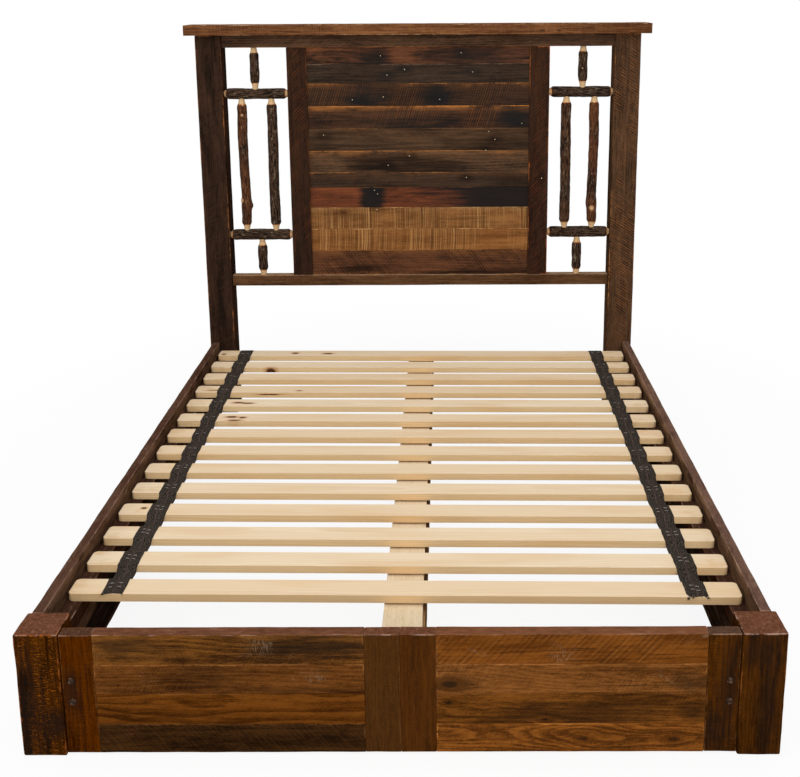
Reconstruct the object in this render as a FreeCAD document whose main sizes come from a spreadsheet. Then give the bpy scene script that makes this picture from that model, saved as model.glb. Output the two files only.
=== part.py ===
"""Rustic platform bed of reclaimed barn boards with hickory stick lattices.

The bed stands on the floor at Z = 0, centred on X = 0 and Y = 0.
The footboard is on the -Y side and the headboard on the +Y side.
All lengths are millimetres.
"""
import FreeCAD
import Part
import Sketcher
import math
import os
import re

from FreeCAD import Placement, Rotation, Vector

doc = FreeCAD.newDocument("RusticBed")

# Driving dimensions: (alias, value, what it measures)
SIZES = [
    ("InsideWidth", 1562, "between the side rails"),
    ("InsideLength", 2062, "footboard back to headboard posts"),
    ("PostSide", 95, "square posts, all four"),
    ("PostEase", 5, "worn corner of a post"),
    ("FootPostHeight", 292, "foot posts"),
    ("HeadHeight", 1495, "top of the headboard cap"),
    ("EdgeWear", 2, "worn edge of a board"),
    ("FloorGap", 5, "rails and footboard above the floor"),
    # Side rails and slat ledgers
    ("RailThick", 25, "side rail board"),
    ("RailDrop", 2, "rail top below the foot post top"),
    ("RailReveal", 10, "posts stand proud of the rails"),
    ("LedgerWidth", 38, "slat ledger across"),
    ("LedgerHeight", 38, "slat ledger up"),
    # Slat roll
    ("SlatDrop", 32, "slat tops below the rail tops"),
    ("SlatThick", 19, "slat"),
    ("SlatWidth", 70, "slat"),
    ("SlatEndGap", 6.5, "slat end to rail"),
    ("SlatHeadGap", 20, "first slat to the headboard posts"),
    ("SlatFootGap", 180.6, "last slat to the footboard"),
    ("SlatCorner", 12, "rounded corner of a slat"),
    ("StrapWidth", 50, "webbing"),
    ("StrapThick", 1.6, "webbing"),
    ("StrapInset", 102, "slat end to the middle of the webbing"),
    ("StrapSag", 7, "dip of the webbing between two slats"),
    # Centre support
    ("BeamWidth", 90, "pale board on top of the support"),
    ("BeamThick", 19, "pale board on top of the support"),
    ("BeamHeadGap", 14, "support to the headboard plane"),
    ("RibThick", 38, "board on edge under the support"),
    ("RibHeight", 89, "board on edge under the support"),
    ("RibProud", 7, "rib past the edge of the pale board"),
    ("LegDepth", 38, "support leg along the bed"),
    # Headboard frame
    ("CapThick", 38, "headboard cap"),
    ("CapOverhang", 25, "cap past the posts, front and back"),
    ("CapEndOverhang", 35, "cap past the posts, left and right"),
    ("FrameThick", 40, "headboard rails and stiles"),
    ("FrameRecess", 15, "frame behind the post fronts"),
    ("TopRailWidth", 45, "rail under the cap"),
    ("BottomRailWidth", 42, "rail under the panel"),
    ("BottomRailHeight", 511, "underside of the bottom rail"),
    ("StileWidth", 74, "stiles beside the panel"),
    ("LatticeWidth", 236, "post to stile"),
    ("PanelBoardThick", 20, "headboard panel boards"),
    ("PanelBoardRecess", 7, "panel boards behind the stiles"),
    ("GrooveDepth", 12, "groove in a stile for the board ends"),
    ("GrooveGap", 0.2, "play of a board end in its groove"),
    # Hickory sticks
    ("StickDia", 38, "hickory stick over the bark"),
    ("StickBend", 6, "a stick's bark off its straight line"),
    ("TenonDia", 24, "peeled round tenon"),
    ("TenonPlay", 0.15, "tenon to mortise, on the radius"),
    ("TenonShow", 20, "peeled length before the bark"),
    ("CrossTenonShow", 9, "peeled length of a cross stick"),
    ("BarkTaper", 8, "length over which the bark is cut back"),
    ("MortiseDepth", 20, "mortise in a rail, stile or post"),
    ("StickMortiseFloor", 5, "mortise floor to the cross stick axis"),
    # Footboard
    ("FootPanelThick", 33, "footboard boards"),
    ("FootPanelRecess", 6.5, "footboard behind the post fronts"),
    ("FootPanelDrop", 5, "footboard top below the post tops"),
    ("BoltPlankWidth", 70, "upright board beside a foot post"),
    ("MullionWidth", 76.5, "each of the two middle uprights"),
    ("PlankCorner", 9, "rounded outer top corner of a bolt plank"),
    ("CleatWidth", 40, "upright cleat behind the bolt plank"),
    ("CleatDrop", 50, "cleat top below the footboard top"),
    # Fasteners
    ("BoltInset", 20, "bolt to the foot post"),
    ("BoltLow", 129, "lower bolt above the floor"),
    ("BoltSpacing", 50, "bolt to bolt"),
    ("BoltDia", 6, "bolt shank"),
    ("BoltHeadDia", 11, "round bolt head"),
    ("BoltHeadHeight", 3, "round bolt head"),
    ("BoltLength", 62, "bolt shank"),
    ("AngleLeg", 50, "corner angle, each leg"),
    ("AngleThick", 4, "corner angle"),
    ("AngleGap", 21, "corner angle below the slat ledger"),
    ("AngleLow", 60, "corner angle above the floor"),
    ("HolePlay", 0.15, "shank to hole, on the radius"),
]

SLAT_COUNT = 14

# Places worked out from the driving dimensions: (alias, formula)
PLACES = [
    ("RailTop", "FootPostHeight - RailDrop"),
    ("RailHeight", "RailTop - FloorGap"),
    ("RailInner", "InsideWidth / 2"),
    ("PostOuter", "RailInner + RailThick + RailReveal"),
    ("PostInner", "PostOuter - PostSide"),
    ("TotalLength", "FootPanelRecess + FootPanelThick + InsideLength + PostSide + CapOverhang"),
    ("FrontY", "-TotalLength / 2"),
    ("FootPanelY", "FrontY + FootPanelRecess"),
    ("InsideFootY", "FootPanelY + FootPanelThick"),
    ("FootPostBackY", "FrontY + PostSide"),
    ("HeadY", "InsideFootY + InsideLength"),
    ("RailLength", "HeadY - FootPostBackY"),
    ("SlatTop", "RailTop - SlatDrop"),
    ("LedgerTop", "SlatTop - SlatThick"),
    ("SlatLength", "InsideWidth - 2 * SlatEndGap"),
    ("FirstSlatY", "HeadY - SlatHeadGap - SlatWidth / 2"),
    ("SlatRun", "InsideLength - SlatHeadGap - SlatFootGap - SlatWidth"),
    ("SlatPitch", f"SlatRun / {SLAT_COUNT - 1}"),
    ("StrapX", "SlatLength / 2 - StrapInset"),
    ("BeamLength", "InsideLength - BeamHeadGap"),
    ("BeamUnder", "LedgerTop - BeamThick"),
    ("RibX", "BeamWidth / 2 + RibProud - RibThick"),
    ("LegWidth", "RibX + BeamWidth / 2"),
    ("HeadPostHeight", "HeadHeight - CapThick"),
    ("FrameY", "HeadY + FrameRecess"),
    ("TopRailZ", "HeadPostHeight - TopRailWidth"),
    ("OpeningZ", "BottomRailHeight + BottomRailWidth"),
    ("OpeningHeight", "TopRailZ - OpeningZ"),
    ("StileOuter", "PostInner - LatticeWidth"),
    ("StileInner", "StileOuter - StileWidth"),
    ("BoardY", "FrameY + PanelBoardRecess"),
    ("FootPanelTop", "FootPostHeight - FootPanelDrop"),
    ("FootPanelHeight", "FootPanelTop - FloorGap"),
    ("FootBoardLength", "PostInner - BoltPlankWidth - MullionWidth"),
    ("CleatDepth", "FootPostBackY - InsideFootY"),
    ("CleatHeight", "FootPanelHeight - CleatDrop"),
    ("AngleHeight", "LedgerTop - LedgerHeight - AngleGap - AngleLow"),
]

sheet = doc.addObject("Spreadsheet::Sheet", "Sizes")
for row, (alias, value, note) in enumerate(SIZES, 1):
    sheet.set(f"A{row}", note)
    sheet.set(f"B{row}", str(value))
    sheet.setAlias(f"B{row}", alias)
doc.recompute()
for row, (alias, formula) in enumerate(PLACES, len(SIZES) + 2):
    sheet.set(f"A{row}", f"{alias} is {formula}")
    sheet.set(f"B{row}", f"={formula}")
    sheet.setAlias(f"B{row}", alias)
doc.recompute()


def size(alias):
    """The value of one named size."""
    return float(sheet.get(alias))


def bound(formula):
    """A formula of named sizes, written as an expression that reads the sheet."""
    return re.sub(r"([A-Z]\w+)", r"Sizes.\1", formula)


def value(formula):
    """The number that a formula of named sizes gives."""
    return float(sheet.evalExpression(formula))


def place(thing, x, y, z):
    """Bind the corner of a piece to formulas of the named sizes."""
    for axis, formula in zip("xyz", (x, y, z)):
        thing.setExpression(f".Placement.Base.{axis}", bound(formula))


def plane(body, role):
    return next(item for item in body.Origin.OriginFeatures if item.Role == role)


def sketch_on(body, role, offset="0"):
    """An empty sketch on one of the body's own origin planes, or parallel to it."""
    sketch = body.newObject("Sketcher::SketchObject", "Sketch")
    sketch.AttachmentSupport = (plane(body, role), [""])
    sketch.MapMode = "FlatFace"
    sketch.setExpression(".AttachmentOffset.Base.z", bound(offset))
    return sketch


def fix(sketch, name, formula, kind, *where):
    """A named dimension of a sketch, bound to a formula."""
    index = sketch.addConstraint(Sketcher.Constraint(kind, *where, value(formula)))
    sketch.renameConstraint(index, name)
    sketch.setExpression(f"Constraints.{name}", bound(formula))


def rectangle(sketch, wide, tall):
    """A rectangle with its low corner on the sketch's origin."""
    w = value(wide)
    t = value(tall)
    corners = [Vector(0, 0), Vector(w, 0), Vector(w, t), Vector(0, t)]
    for start, end in zip(corners, corners[1:] + corners[:1]):
        sketch.addGeometry(Part.LineSegment(start, end), False)
    for side in range(4):
        sketch.addConstraint(Sketcher.Constraint("Coincident", side, 2, (side + 1) % 4, 1))
        direction = "Vertical" if side % 2 else "Horizontal"
        sketch.addConstraint(Sketcher.Constraint(direction, side))
    sketch.addConstraint(Sketcher.Constraint("Coincident", 0, 1, -1, 1))
    fix(sketch, "Wide", wide, "DistanceX", 0, 1, 0, 2)
    fix(sketch, "Tall", tall, "DistanceY", 1, 1, 1, 2)


def board(label, extent, corner, ease="EdgeWear"):
    """A sawn piece: a padded rectangle with all its edges worn away."""
    body = doc.addObject("PartDesign::Body", label)
    body.Label = label
    sketch = sketch_on(body, "XY_Plane")
    rectangle(sketch, extent[0], extent[1])
    pad = body.newObject("PartDesign::Pad", "Pad")
    pad.Profile = sketch
    pad.setExpression("Length", bound(extent[2]))
    doc.recompute()
    wear = body.newObject("PartDesign::Chamfer", "Wear")
    wear.Base = (pad, ["Face1"])
    wear.UseAllEdges = True
    wear.setExpression("Size", bound(ease))
    body.Tip = wear
    place(body, *corner)
    doc.recompute()
    return body


def bore(body, role, offset, inward, centres, radius, depth):
    """Round holes of one depth, cut from a flat face into a body."""
    before = body.Shape.Volume
    sketch = sketch_on(body, role, offset)
    for n, (along, up) in enumerate(centres):
        middle = Vector(value(along), value(up))
        sketch.addGeometry(Part.Circle(middle, Vector(0, 0, 1), value(radius)), False)
        fix(sketch, f"Radius{n}", radius, "Radius", n)
        fix(sketch, f"Along{n}", along, "DistanceX", -1, 1, n, 3)
        fix(sketch, f"Up{n}", up, "DistanceY", -1, 1, n, 3)
    pocket = body.newObject("PartDesign::Pocket", "Bore")
    pocket.Profile = sketch
    pocket.setExpression("Length", bound(depth))
    pocket.Reversed = inward
    body.Tip = pocket
    doc.recompute()
    cut = before - body.Shape.Volume
    full = len(centres) * math.pi * value(radius) ** 2 * value(depth)
    if not 0.9 * full < cut < 1.1 * full:
        print("check the bores of", body.Label, round(cut), round(full))


def groove(body, role, offset, inward, wide, tall, along, up, depth):
    """A straight groove of a rectangle's section, cut into a body."""
    sketch = sketch_on(body, role, offset)
    rectangle(sketch, wide, tall)
    sketch.setExpression(".AttachmentOffset.Base.x", bound(along))
    sketch.setExpression(".AttachmentOffset.Base.y", bound(up))
    pocket = body.newObject("PartDesign::Pocket", "Groove")
    pocket.Profile = sketch
    pocket.setExpression("Length", bound(depth))
    pocket.Reversed = inward
    body.Tip = pocket
    doc.recompute()


def feature(label, shape):
    """A piece whose form no sketch gives, such as a bent stick, left where its shape lies."""
    piece = doc.addObject("Part::Feature", label)
    piece.Label = label
    piece.Shape = shape
    piece.Placement = shape.Placement
    return piece


PIECES = []
SIDES = [("left", -1), ("right", 1)]


def low_x(sign, inner, outer):
    """The low X corner of a piece that spans inner to outer on one side."""
    return inner if sign > 0 else f"-( {outer} )"


# Foot and head posts

for side, sign in SIDES:
    x = low_x(sign, "PostInner", "PostOuter")
    post = board(f"footboard_post_{side}", ("PostSide", "PostSide", "FootPostHeight"),
                 (x, "FrontY", "0"), "PostEase")
    PIECES.append(post)
    post = board(f"headboard_post_{side}", ("PostSide", "PostSide", "HeadPostHeight"),
                 (x, "HeadY", "0"), "PostEase")
    PIECES.append(post)

posts = {piece.Label: piece for piece in PIECES}

# Headboard frame: cap, rails and stiles

cap = board("headboard_cap",
            ("2 * PostOuter + 2 * CapEndOverhang", "PostSide + 2 * CapOverhang", "CapThick"),
            ("-PostOuter - CapEndOverhang", "HeadY - CapOverhang", "HeadPostHeight"))
top_rail = board("headboard_top_rail", ("2 * PostInner", "FrameThick", "TopRailWidth"),
                 ("-PostInner", "FrameY", "TopRailZ"))
bottom_rail = board("headboard_bottom_rail", ("2 * PostInner", "FrameThick", "BottomRailWidth"),
                    ("-PostInner", "FrameY", "BottomRailHeight"))
stiles = {}
for side, sign in SIDES:
    stiles[side] = board(f"headboard_stile_{side}", ("StileWidth", "FrameThick", "OpeningHeight"),
                         (low_x(sign, "StileInner", "StileOuter"), "FrameY", "OpeningZ"))
    groove(stiles[side], "YZ_Plane", "GrooveDepth" if sign > 0 else "StileWidth", False,
           "PanelBoardThick + 2 * GrooveGap", "OpeningHeight",
           "PanelBoardRecess - GrooveGap", "0", "GrooveDepth")
PIECES += [cap, top_rail, bottom_rail, stiles["left"], stiles["right"]]

# Headboard panel: boards of uneven height, from the bottom up, their ends in the grooves

BOARD_SHARES = [0.112, 0.0965, 0.0955, 0.0897, 0.0665, 0.095, 0.0982, 0.096, 0.0969, 0.0821, 0.0716]

base_share = 0
for n, height_share in enumerate(BOARD_SHARES):
    number = len(BOARD_SHARES) - n
    piece = board(f"headboard_board_{number:02d}",
                  ("2 * ( StileInner + GrooveDepth - GrooveGap )", "PanelBoardThick",
                   f"{height_share / sum(BOARD_SHARES)} * OpeningHeight"),
                  ("-StileInner - GrooveDepth + GrooveGap", "BoardY",
                   f"OpeningZ + {base_share / sum(BOARD_SHARES)} * OpeningHeight"))
    base_share += height_share
    PIECES.append(piece)

# Hickory lattices. Each stick is drawn down to flats like a hand-worked branch, through rings:
# a peeled tenon at each end, a shoulder where the bark is cut back, and bark that swells and
# bends in between.
# A section of the bark is (share of the bark's run, radius share, sideways share, depth share).

STICK_SHARES = {
    "upper_cross": (1.0, [(0.25, 1.03, 0.2, 0.1), (0.55, 0.97, 0.5, 0.2), (0.8, 1.0, 0.2, 0.0)]),
    "lower_cross": (1.1, [(0.2, 1.0, -0.2, 0.1), (0.5, 1.03, -0.4, 0.2), (0.8, 0.98, -0.1, 0.1)]),
    "outer_long": (0.98, [(0.08, 1.02, 0.2, 0.1), (0.15, 1.13, 0.5, 0.2), (0.22, 0.99, 0.4, 0.3),
                          (0.5, 0.97, -0.3, 0.5), (0.78, 1.02, -0.5, 0.2), (0.92, 1.0, 0.0, 0.1)]),
    "inner_long": (1.03, [(0.1, 1.03, -0.3, 0.0), (0.3, 0.98, -0.8, -0.2), (0.48, 1.0, -0.4, -0.4),
                          (0.62, 1.04, 0.3, -0.2), (0.85, 0.97, 0.5, 0.1)]),
    "top_short": (0.91, [(0.3, 1.04, 0.3, 0.1), (0.7, 0.97, 0.2, 0.2)]),
    "bottom_short": (0.95, [(0.35, 0.98, -0.3, 0.1), (0.7, 1.05, -0.1, 0.0)]),
}
# Where each stick stands: the crosses up the opening, the uprights from the post to the stile
PLACE_SHARES = {
    "left": {"lower_cross": 0.182, "upper_cross": 0.804, "outer_long": 0.264, "inner_long": 0.733,
             "bottom_short": 0.5, "top_short": 0.488},
    "right": {"lower_cross": 0.189, "upper_cross": 0.806, "outer_long": 0.283,
              "inner_long": 0.722, "bottom_short": 0.512, "top_short": 0.475},
}
STICK_TURN_FLATS = {"left": 0, "right": 5}
CUT_BARK_SHARE = 0.8
STICK_FLATS = 12

lattice_y = value("FrameY + FrameThick / 2")


def ring(along, radius, side=0, depth=0):
    """The corners of one round section, drawn to flats, square to the stick."""
    corners = []
    for n in range(STICK_FLATS):
        turn = 2 * math.pi * n / STICK_FLATS
        corners.append(Vector(side + radius * math.cos(turn), depth + radius * math.sin(turn), along))
    return corners


def through_rings(rings):
    """The solid that joins rings of corners with flat faces."""
    outlines = [rings[0], rings[-1]]
    for low, high in zip(rings, rings[1:]):
        for n, corner in enumerate(low):
            outlines.append([low[n - 1], corner, high[n], high[n - 1]])
    faces = [Part.Face(Part.makePolygon(outline + outline[:1])) for outline in outlines]
    shell = Part.makeShell(faces)
    shell.sewShape()
    solid = Part.makeSolid(shell)
    if solid.Volume < 0:
        solid.reverse()
    return solid


def stick(kind, tip, end, socket_at_tip, socket_at_end, show, turn_degrees):
    """A stick from tenon tip to tenon tip, whose ends sit in sockets of the given depths."""
    thick_share, bark_shares = STICK_SHARES[kind]
    bark = thick_share * size("StickDia") / 2
    tenon = size("TenonDia") / 2
    reach = (end - tip).Length
    first = socket_at_tip + show
    last = reach - socket_at_end - show
    taper = size("BarkTaper")
    sections = [(0, tenon, 0, 0), (socket_at_tip, tenon, 0, 0), (first, bark * CUT_BARK_SHARE, 0, 0),
                (first + taper, bark, 0, 0)]
    for run_share, radius_share, side_share, depth_share in bark_shares:
        sections.append((first + taper + run_share * (last - first - 2 * taper),
                         bark * radius_share, side_share * size("StickBend"),
                         depth_share * size("StickBend")))
    sections += [(last - taper, bark, 0, 0), (last, bark * CUT_BARK_SHARE, 0, 0),
                 (reach - socket_at_end, tenon, 0, 0), (reach, tenon, 0, 0)]
    shape = through_rings([ring(*section) for section in sections])
    upright = Vector(0, 0, 1)
    turn = Rotation(upright, end - tip).multiply(Rotation(upright, turn_degrees))
    shape.Placement = Placement(tip, turn)
    return shape


def socket(foot, direction, depth):
    """The mortise in a cross stick that a tenon sits in, as a tool to cut with."""
    radius = size("TenonDia") / 2 + size("TenonPlay")
    tool = through_rings([ring(0, radius), ring(depth, radius)])
    tool.Placement = Placement(foot, Rotation(Vector(0, 0, 1), direction))
    return tool


def lattice(side, sign):
    """The six sticks between a head post and the stile beside it."""
    up = Vector(0, 0, 1)
    bottom = value("OpeningZ")
    rise = value("OpeningHeight")
    top = bottom + rise
    mortise = size("MortiseDepth")
    floor = size("StickMortiseFloor")
    play = size("TenonPlay")
    shares = PLACE_SHARES[side]
    turn = STICK_TURN_FLATS[side] * 360 / STICK_FLATS

    def across(share):
        """X at a share of the way from the post to the stile."""
        return sign * (value("PostInner") - share * size("LatticeWidth"))

    def point(share, z):
        return Vector(across(share), lattice_y, z)

    crosses = {kind: bottom + shares[kind] * rise for kind in ("lower_cross", "upper_cross")}
    lower, upper = crosses.values()
    # Where each upright starts and ends, and the cross stick that its foot or head sits in
    uprights = {
        "bottom_short": (bottom - mortise, None, lower - floor, "lower_cross"),
        "outer_long": (lower + floor, "lower_cross", upper - floor, "upper_cross"),
        "inner_long": (lower + floor, "lower_cross", upper - floor, "upper_cross"),
        "top_short": (upper + floor, "upper_cross", top + mortise, None),
    }
    shapes = {}
    for kind, z in crosses.items():
        inward = Vector(sign * mortise, 0, 0)
        shapes[kind] = stick(kind, point(0, z) + inward, point(1, z) - inward, mortise, mortise,
                             size("CrossTenonShow"), turn)
    for kind, (foot_z, foot_cross, head_z, head_cross) in uprights.items():
        share = shares[kind]
        depths = []
        for cross, hole_z, out in ((foot_cross, foot_z - play, up), (head_cross, head_z + play, -up)):
            if cross:
                hole = socket(point(share, hole_z), out, size("StickDia"))
                shapes[cross] = shapes[cross].cut(hole)
            depths.append(STICK_SHARES[cross][0] * size("StickDia") / 2 - floor if cross else mortise)
        shapes[kind] = stick(kind, point(share, foot_z), point(share, head_z), *depths,
                             size("TenonShow"), turn)
    return [feature(f"lattice_{side}_{kind}", shape) for kind, shape in shapes.items()]


for side, sign in SIDES:
    PIECES += lattice(side, sign)

# Mortises for the sticks: in the rails from above and below, in the posts and stiles sideways

mortise_radius = "TenonDia / 2 + TenonPlay"
mortise_depth = "MortiseDepth + TenonPlay"
mid_frame = "FrameThick / 2"
for rail, offset, inward, kind in ((top_rail, "0", True, "top_short"),
                                   (bottom_rail, "BottomRailWidth", False, "bottom_short")):
    centres = [(f"PostInner + {sign} * ( PostInner - {PLACE_SHARES[side][kind]} * LatticeWidth )",
                mid_frame) for side, sign in SIDES]
    bore(rail, "XY_Plane", offset, inward, centres, mortise_radius, mortise_depth)
for side, sign in SIDES:
    for carrier, base, face, depth_of_mid in (
            (posts[f"headboard_post_{side}"], "OpeningZ", sign < 0, "FrameRecess + FrameThick / 2"),
            (stiles[side], "0", sign > 0, mid_frame)):
        wide = "PostSide" if base == "OpeningZ" else "StileWidth"
        centres = [(depth_of_mid, f"{base} + {share} * OpeningHeight")
                   for kind, share in PLACE_SHARES[side].items() if "cross" in kind]
        bore(carrier, "YZ_Plane", wide if face else "0", not face, centres, mortise_radius,
             mortise_depth)

# Footboard: bolt planks by the posts, two uprights in the middle, four rows of boards each side

ROW_SHARES = [0.245, 0.2615, 0.246, 0.2475]


def corner_edge(shape, x, z):
    """The name of the edge that runs along Y at a corner of a piece seen from the front."""
    for number, edge in enumerate(shape.Edges, 1):
        middle = edge.CenterOfMass
        if abs(middle.x - x) < size("EdgeWear") and abs(middle.z - z) < size("EdgeWear"):
            return f"Edge{number}"


def bolt_plank(label, sign):
    """The upright beside a foot post: its outer top corner is rounded, and two bolts pass it."""
    body = doc.addObject("PartDesign::Body", label)
    body.Label = label
    sketch = sketch_on(body, "XY_Plane")
    rectangle(sketch, "BoltPlankWidth", "FootPanelThick")
    pad = body.newObject("PartDesign::Pad", "Pad")
    pad.Profile = sketch
    pad.setExpression("Length", bound("FootPanelHeight"))
    doc.recompute()
    outer = size("BoltPlankWidth") if sign > 0 else 0
    corner = body.newObject("PartDesign::Fillet", "Corner")
    corner.Base = (pad, [corner_edge(pad.Shape, outer, value("FootPanelHeight"))])
    corner.setExpression("Radius", bound("PlankCorner"))
    doc.recompute()
    wear = body.newObject("PartDesign::Chamfer", "Wear")
    wear.Base = (corner, ["Face1"])
    wear.UseAllEdges = True
    wear.setExpression("Size", bound("EdgeWear"))
    body.Tip = wear
    place(body, low_x(sign, "PostInner - BoltPlankWidth", "PostInner"), "FootPanelY", "FloorGap")
    doc.recompute()
    return body


bolt_heights = ["BoltLow - FloorGap", "BoltLow + BoltSpacing - FloorGap"]
bolt_hole = "BoltDia / 2 + HolePlay"
for side, sign in SIDES:
    plank = bolt_plank(f"footboard_bolt_plank_{side}", sign)
    plank_bolt_x = "BoltPlankWidth - BoltInset" if sign > 0 else "BoltInset"
    bore(plank, "XZ_Plane", "0", False, [(plank_bolt_x, z) for z in bolt_heights], bolt_hole,
         "FootPanelThick")
    cleat = board(f"footboard_cleat_{side}", ("CleatWidth", "CleatDepth", "CleatHeight"),
                  (low_x(sign, "PostInner - CleatWidth", "PostInner"), "InsideFootY", "FloorGap"))
    cleat_bolt_x = "CleatWidth - BoltInset" if sign > 0 else "BoltInset"
    bore(cleat, "XZ_Plane", "0", False, [(cleat_bolt_x, z) for z in bolt_heights], bolt_hole,
         "BoltLength - FootPanelThick + HolePlay")
    mullion = board(f"footboard_mullion_{side}",
                    ("MullionWidth", "FootPanelThick", "FootPanelHeight"),
                    (low_x(sign, "0", "MullionWidth"), "FootPanelY", "FloorGap"))
    PIECES += [plank, cleat, mullion]
    base_share = 0
    for n, height_share in enumerate(ROW_SHARES):
        piece = board(f"footboard_board_{side}_{len(ROW_SHARES) - n}",
                      ("FootBoardLength", "FootPanelThick", f"{height_share} * FootPanelHeight"),
                      (low_x(sign, "MullionWidth", "MullionWidth + FootBoardLength"),
                       "FootPanelY", f"FloorGap + {base_share} * FootPanelHeight"))
        base_share += height_share
        PIECES.append(piece)

# Side rails with the ledgers that carry the slats

for side, sign in SIDES:
    rail = board(f"side_rail_{side}", ("RailThick", "RailLength", "RailHeight"),
                 (low_x(sign, "RailInner", "RailInner + RailThick"), "FootPostBackY", "FloorGap"))
    ledger = board(f"slat_ledger_{side}", ("LedgerWidth", "RailLength", "LedgerHeight"),
                   (low_x(sign, "RailInner - LedgerWidth", "RailInner"), "FootPostBackY",
                    "LedgerTop - LedgerHeight"))
    PIECES += [rail, ledger]

# Centre support: a pale board on a rib that stands on edge, with three legs beside it

beam = board("centre_beam_board", ("BeamWidth", "BeamLength", "BeamThick"),
             ("-BeamWidth / 2", "InsideFootY", "BeamUnder"))
rib = board("centre_beam_rib", ("RibThick", "BeamLength", "RibHeight"),
            ("RibX", "InsideFootY", "BeamUnder - RibHeight"))
leg = board("centre_beam_leg", ("LegWidth", "LegDepth", "BeamUnder"),
            ("-BeamWidth / 2", "InsideFootY", "0"))
LEG_SHARES = [0.06, 0.5, 0.94]
legs = []
for share in LEG_SHARES:
    copy = leg.Shape.copy()
    copy.translate(Vector(0, share * value("BeamLength - LegDepth"), 0))
    legs.append(copy)
PIECES += [beam, rib, feature("centre_beam_legs", Part.makeCompound(legs))]

# Slat roll: loose slats on the ledgers, held at their pitch by two strips of webbing

SLAT_SKEW_DEGREES = 0.9
DIP_SHARES = [0.3, 0.7]

slat = doc.addObject("PartDesign::Body", "slat_pattern")
profile = sketch_on(slat, "XY_Plane")
rectangle(profile, "SlatLength", "SlatWidth")
pad = slat.newObject("PartDesign::Pad", "Pad")
pad.Profile = profile
pad.setExpression("Length", "Sizes.SlatThick")
doc.recompute()
corners = [f"Edge{n}" for n, edge in enumerate(pad.Shape.Edges, 1)
           if abs(edge.tangentAt(edge.FirstParameter).z) == 1]
rounding = slat.newObject("PartDesign::Fillet", "Corners")
rounding.Base = (pad, corners)
rounding.setExpression("Radius", "Sizes.SlatCorner")
doc.recompute()
slat.Tip = rounding

skew = math.radians(SLAT_SKEW_DEGREES)
slats = []
for n in range(SLAT_COUNT):
    copy = slat.Shape.copy()
    middle = Vector(0, value("FirstSlatY") - n * size("SlatPitch"), value("LedgerTop"))
    copy.translate(Vector(-value("SlatLength") / 2, -size("SlatWidth") / 2, 0))
    copy.rotate(Vector(), Vector(0, 0, 1), -SLAT_SKEW_DEGREES)
    copy.translate(middle)
    slats.append(copy)
PIECES.append(feature("slats", Part.makeCompound(slats)))


def strap(x):
    """A strip of webbing that lies flat on each slat and dips between two."""
    flat = size("SlatWidth") / 2 / math.cos(skew) + size("StrapWidth") / 2 * math.tan(skew)
    top = value("SlatTop")
    sag = size("StrapSag")
    thick = Vector(0, 0, size("StrapThick"))
    under = []
    for n in reversed(range(SLAT_COUNT)):
        y = value("FirstSlatY") - n * size("SlatPitch") - x * math.tan(skew)
        under += [Vector(x, y - flat, top), Vector(x, y + flat, top)]
        if n:
            room = size("SlatPitch") - 2 * flat
            under += [Vector(x, y + flat + share * room, top - sag) for share in DIP_SHARES]
    over = [point + thick for point in reversed(under)]
    outline = Part.makePolygon(under + over + under[:1])
    ribbon = Part.Face(outline).extrude(Vector(size("StrapWidth"), 0, 0))
    ribbon.translate(Vector(-size("StrapWidth") / 2, 0, 0))
    return ribbon


for side, sign in SIDES:
    PIECES.append(feature(f"strap_{side}", strap(sign * value("StrapX"))))

# Steel: corner angles under the ledgers, and the bolts of the footboard


def mirrored(shape, normal):
    return shape.mirror(Vector(), normal)


def corner_angle():
    """One angle, its corner line on Z at the origin, its legs along -X and +Y."""
    leg_size = size("AngleLeg")
    thick = size("AngleThick")
    outline = [(0, 0), (0, leg_size), (-thick, leg_size), (-thick, thick), (-leg_size, thick),
               (-leg_size, 0), (0, 0)]
    shape = Part.Face(Part.makePolygon([Vector(x, y) for x, y in outline]))
    return shape.extrude(Vector(0, 0, size("AngleHeight")))


def footboard_bolt():
    """A low round head above the origin and a shank below it."""
    head = Part.makeCylinder(size("BoltHeadDia") / 2, size("BoltHeadHeight"))
    shank = Part.makeCylinder(size("BoltDia") / 2, size("BoltLength"), Vector(), Vector(0, 0, -1))
    return head.fuse(shank).removeSplitter()


def placed(shape, where, up):
    """A copy of a fastener at a point, its head towards up."""
    copy = shape.copy()
    copy.Placement = Placement(where, Rotation(Vector(0, 0, 1), up))
    return copy


angle = corner_angle()
bolt = footboard_bolt()
angles = []
bolts = []
for side, sign in SIDES:
    corner_x = sign * value("RailInner")
    for corner_y, run in ((value("FootPostBackY"), 1), (value("HeadY"), -1)):
        shape = angle if sign > 0 else mirrored(angle, Vector(1, 0, 0))
        shape = shape if run > 0 else mirrored(shape, Vector(0, 1, 0))
        copy = shape.copy()
        copy.translate(Vector(corner_x, corner_y, size("AngleLow")))
        angles.append(copy)
    for z in (size("BoltLow"), size("BoltLow") + size("BoltSpacing")):
        where = Vector(sign * (value("PostInner") - size("BoltInset")), value("FootPanelY"), z)
        bolts.append(placed(bolt, where, Vector(0, -1, 0)))
PIECES.append(feature("corner_angles", Part.makeCompound(angles)))
PIECES.append(feature("footboard_bolts", Part.makeCompound(bolts)))

# Checks, then one file for each piece

doc.recompute()
for item in doc.Objects:
    if "Invalid" in item.State or "Error" in item.State:
        raise RuntimeError(f"{item.Label} failed: {item.State}")
os.makedirs("parts", exist_ok=True)
for piece in PIECES:
    if piece.Shape.isNull() or not piece.Shape.isValid():
        raise RuntimeError(f"{piece.Label} has no valid shape")
    piece.Shape.exportStep(f"parts/{piece.Label}.step")
print(len(PIECES), "pieces,", sum(len(piece.Shape.Solids) for piece in PIECES), "solids")
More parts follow.
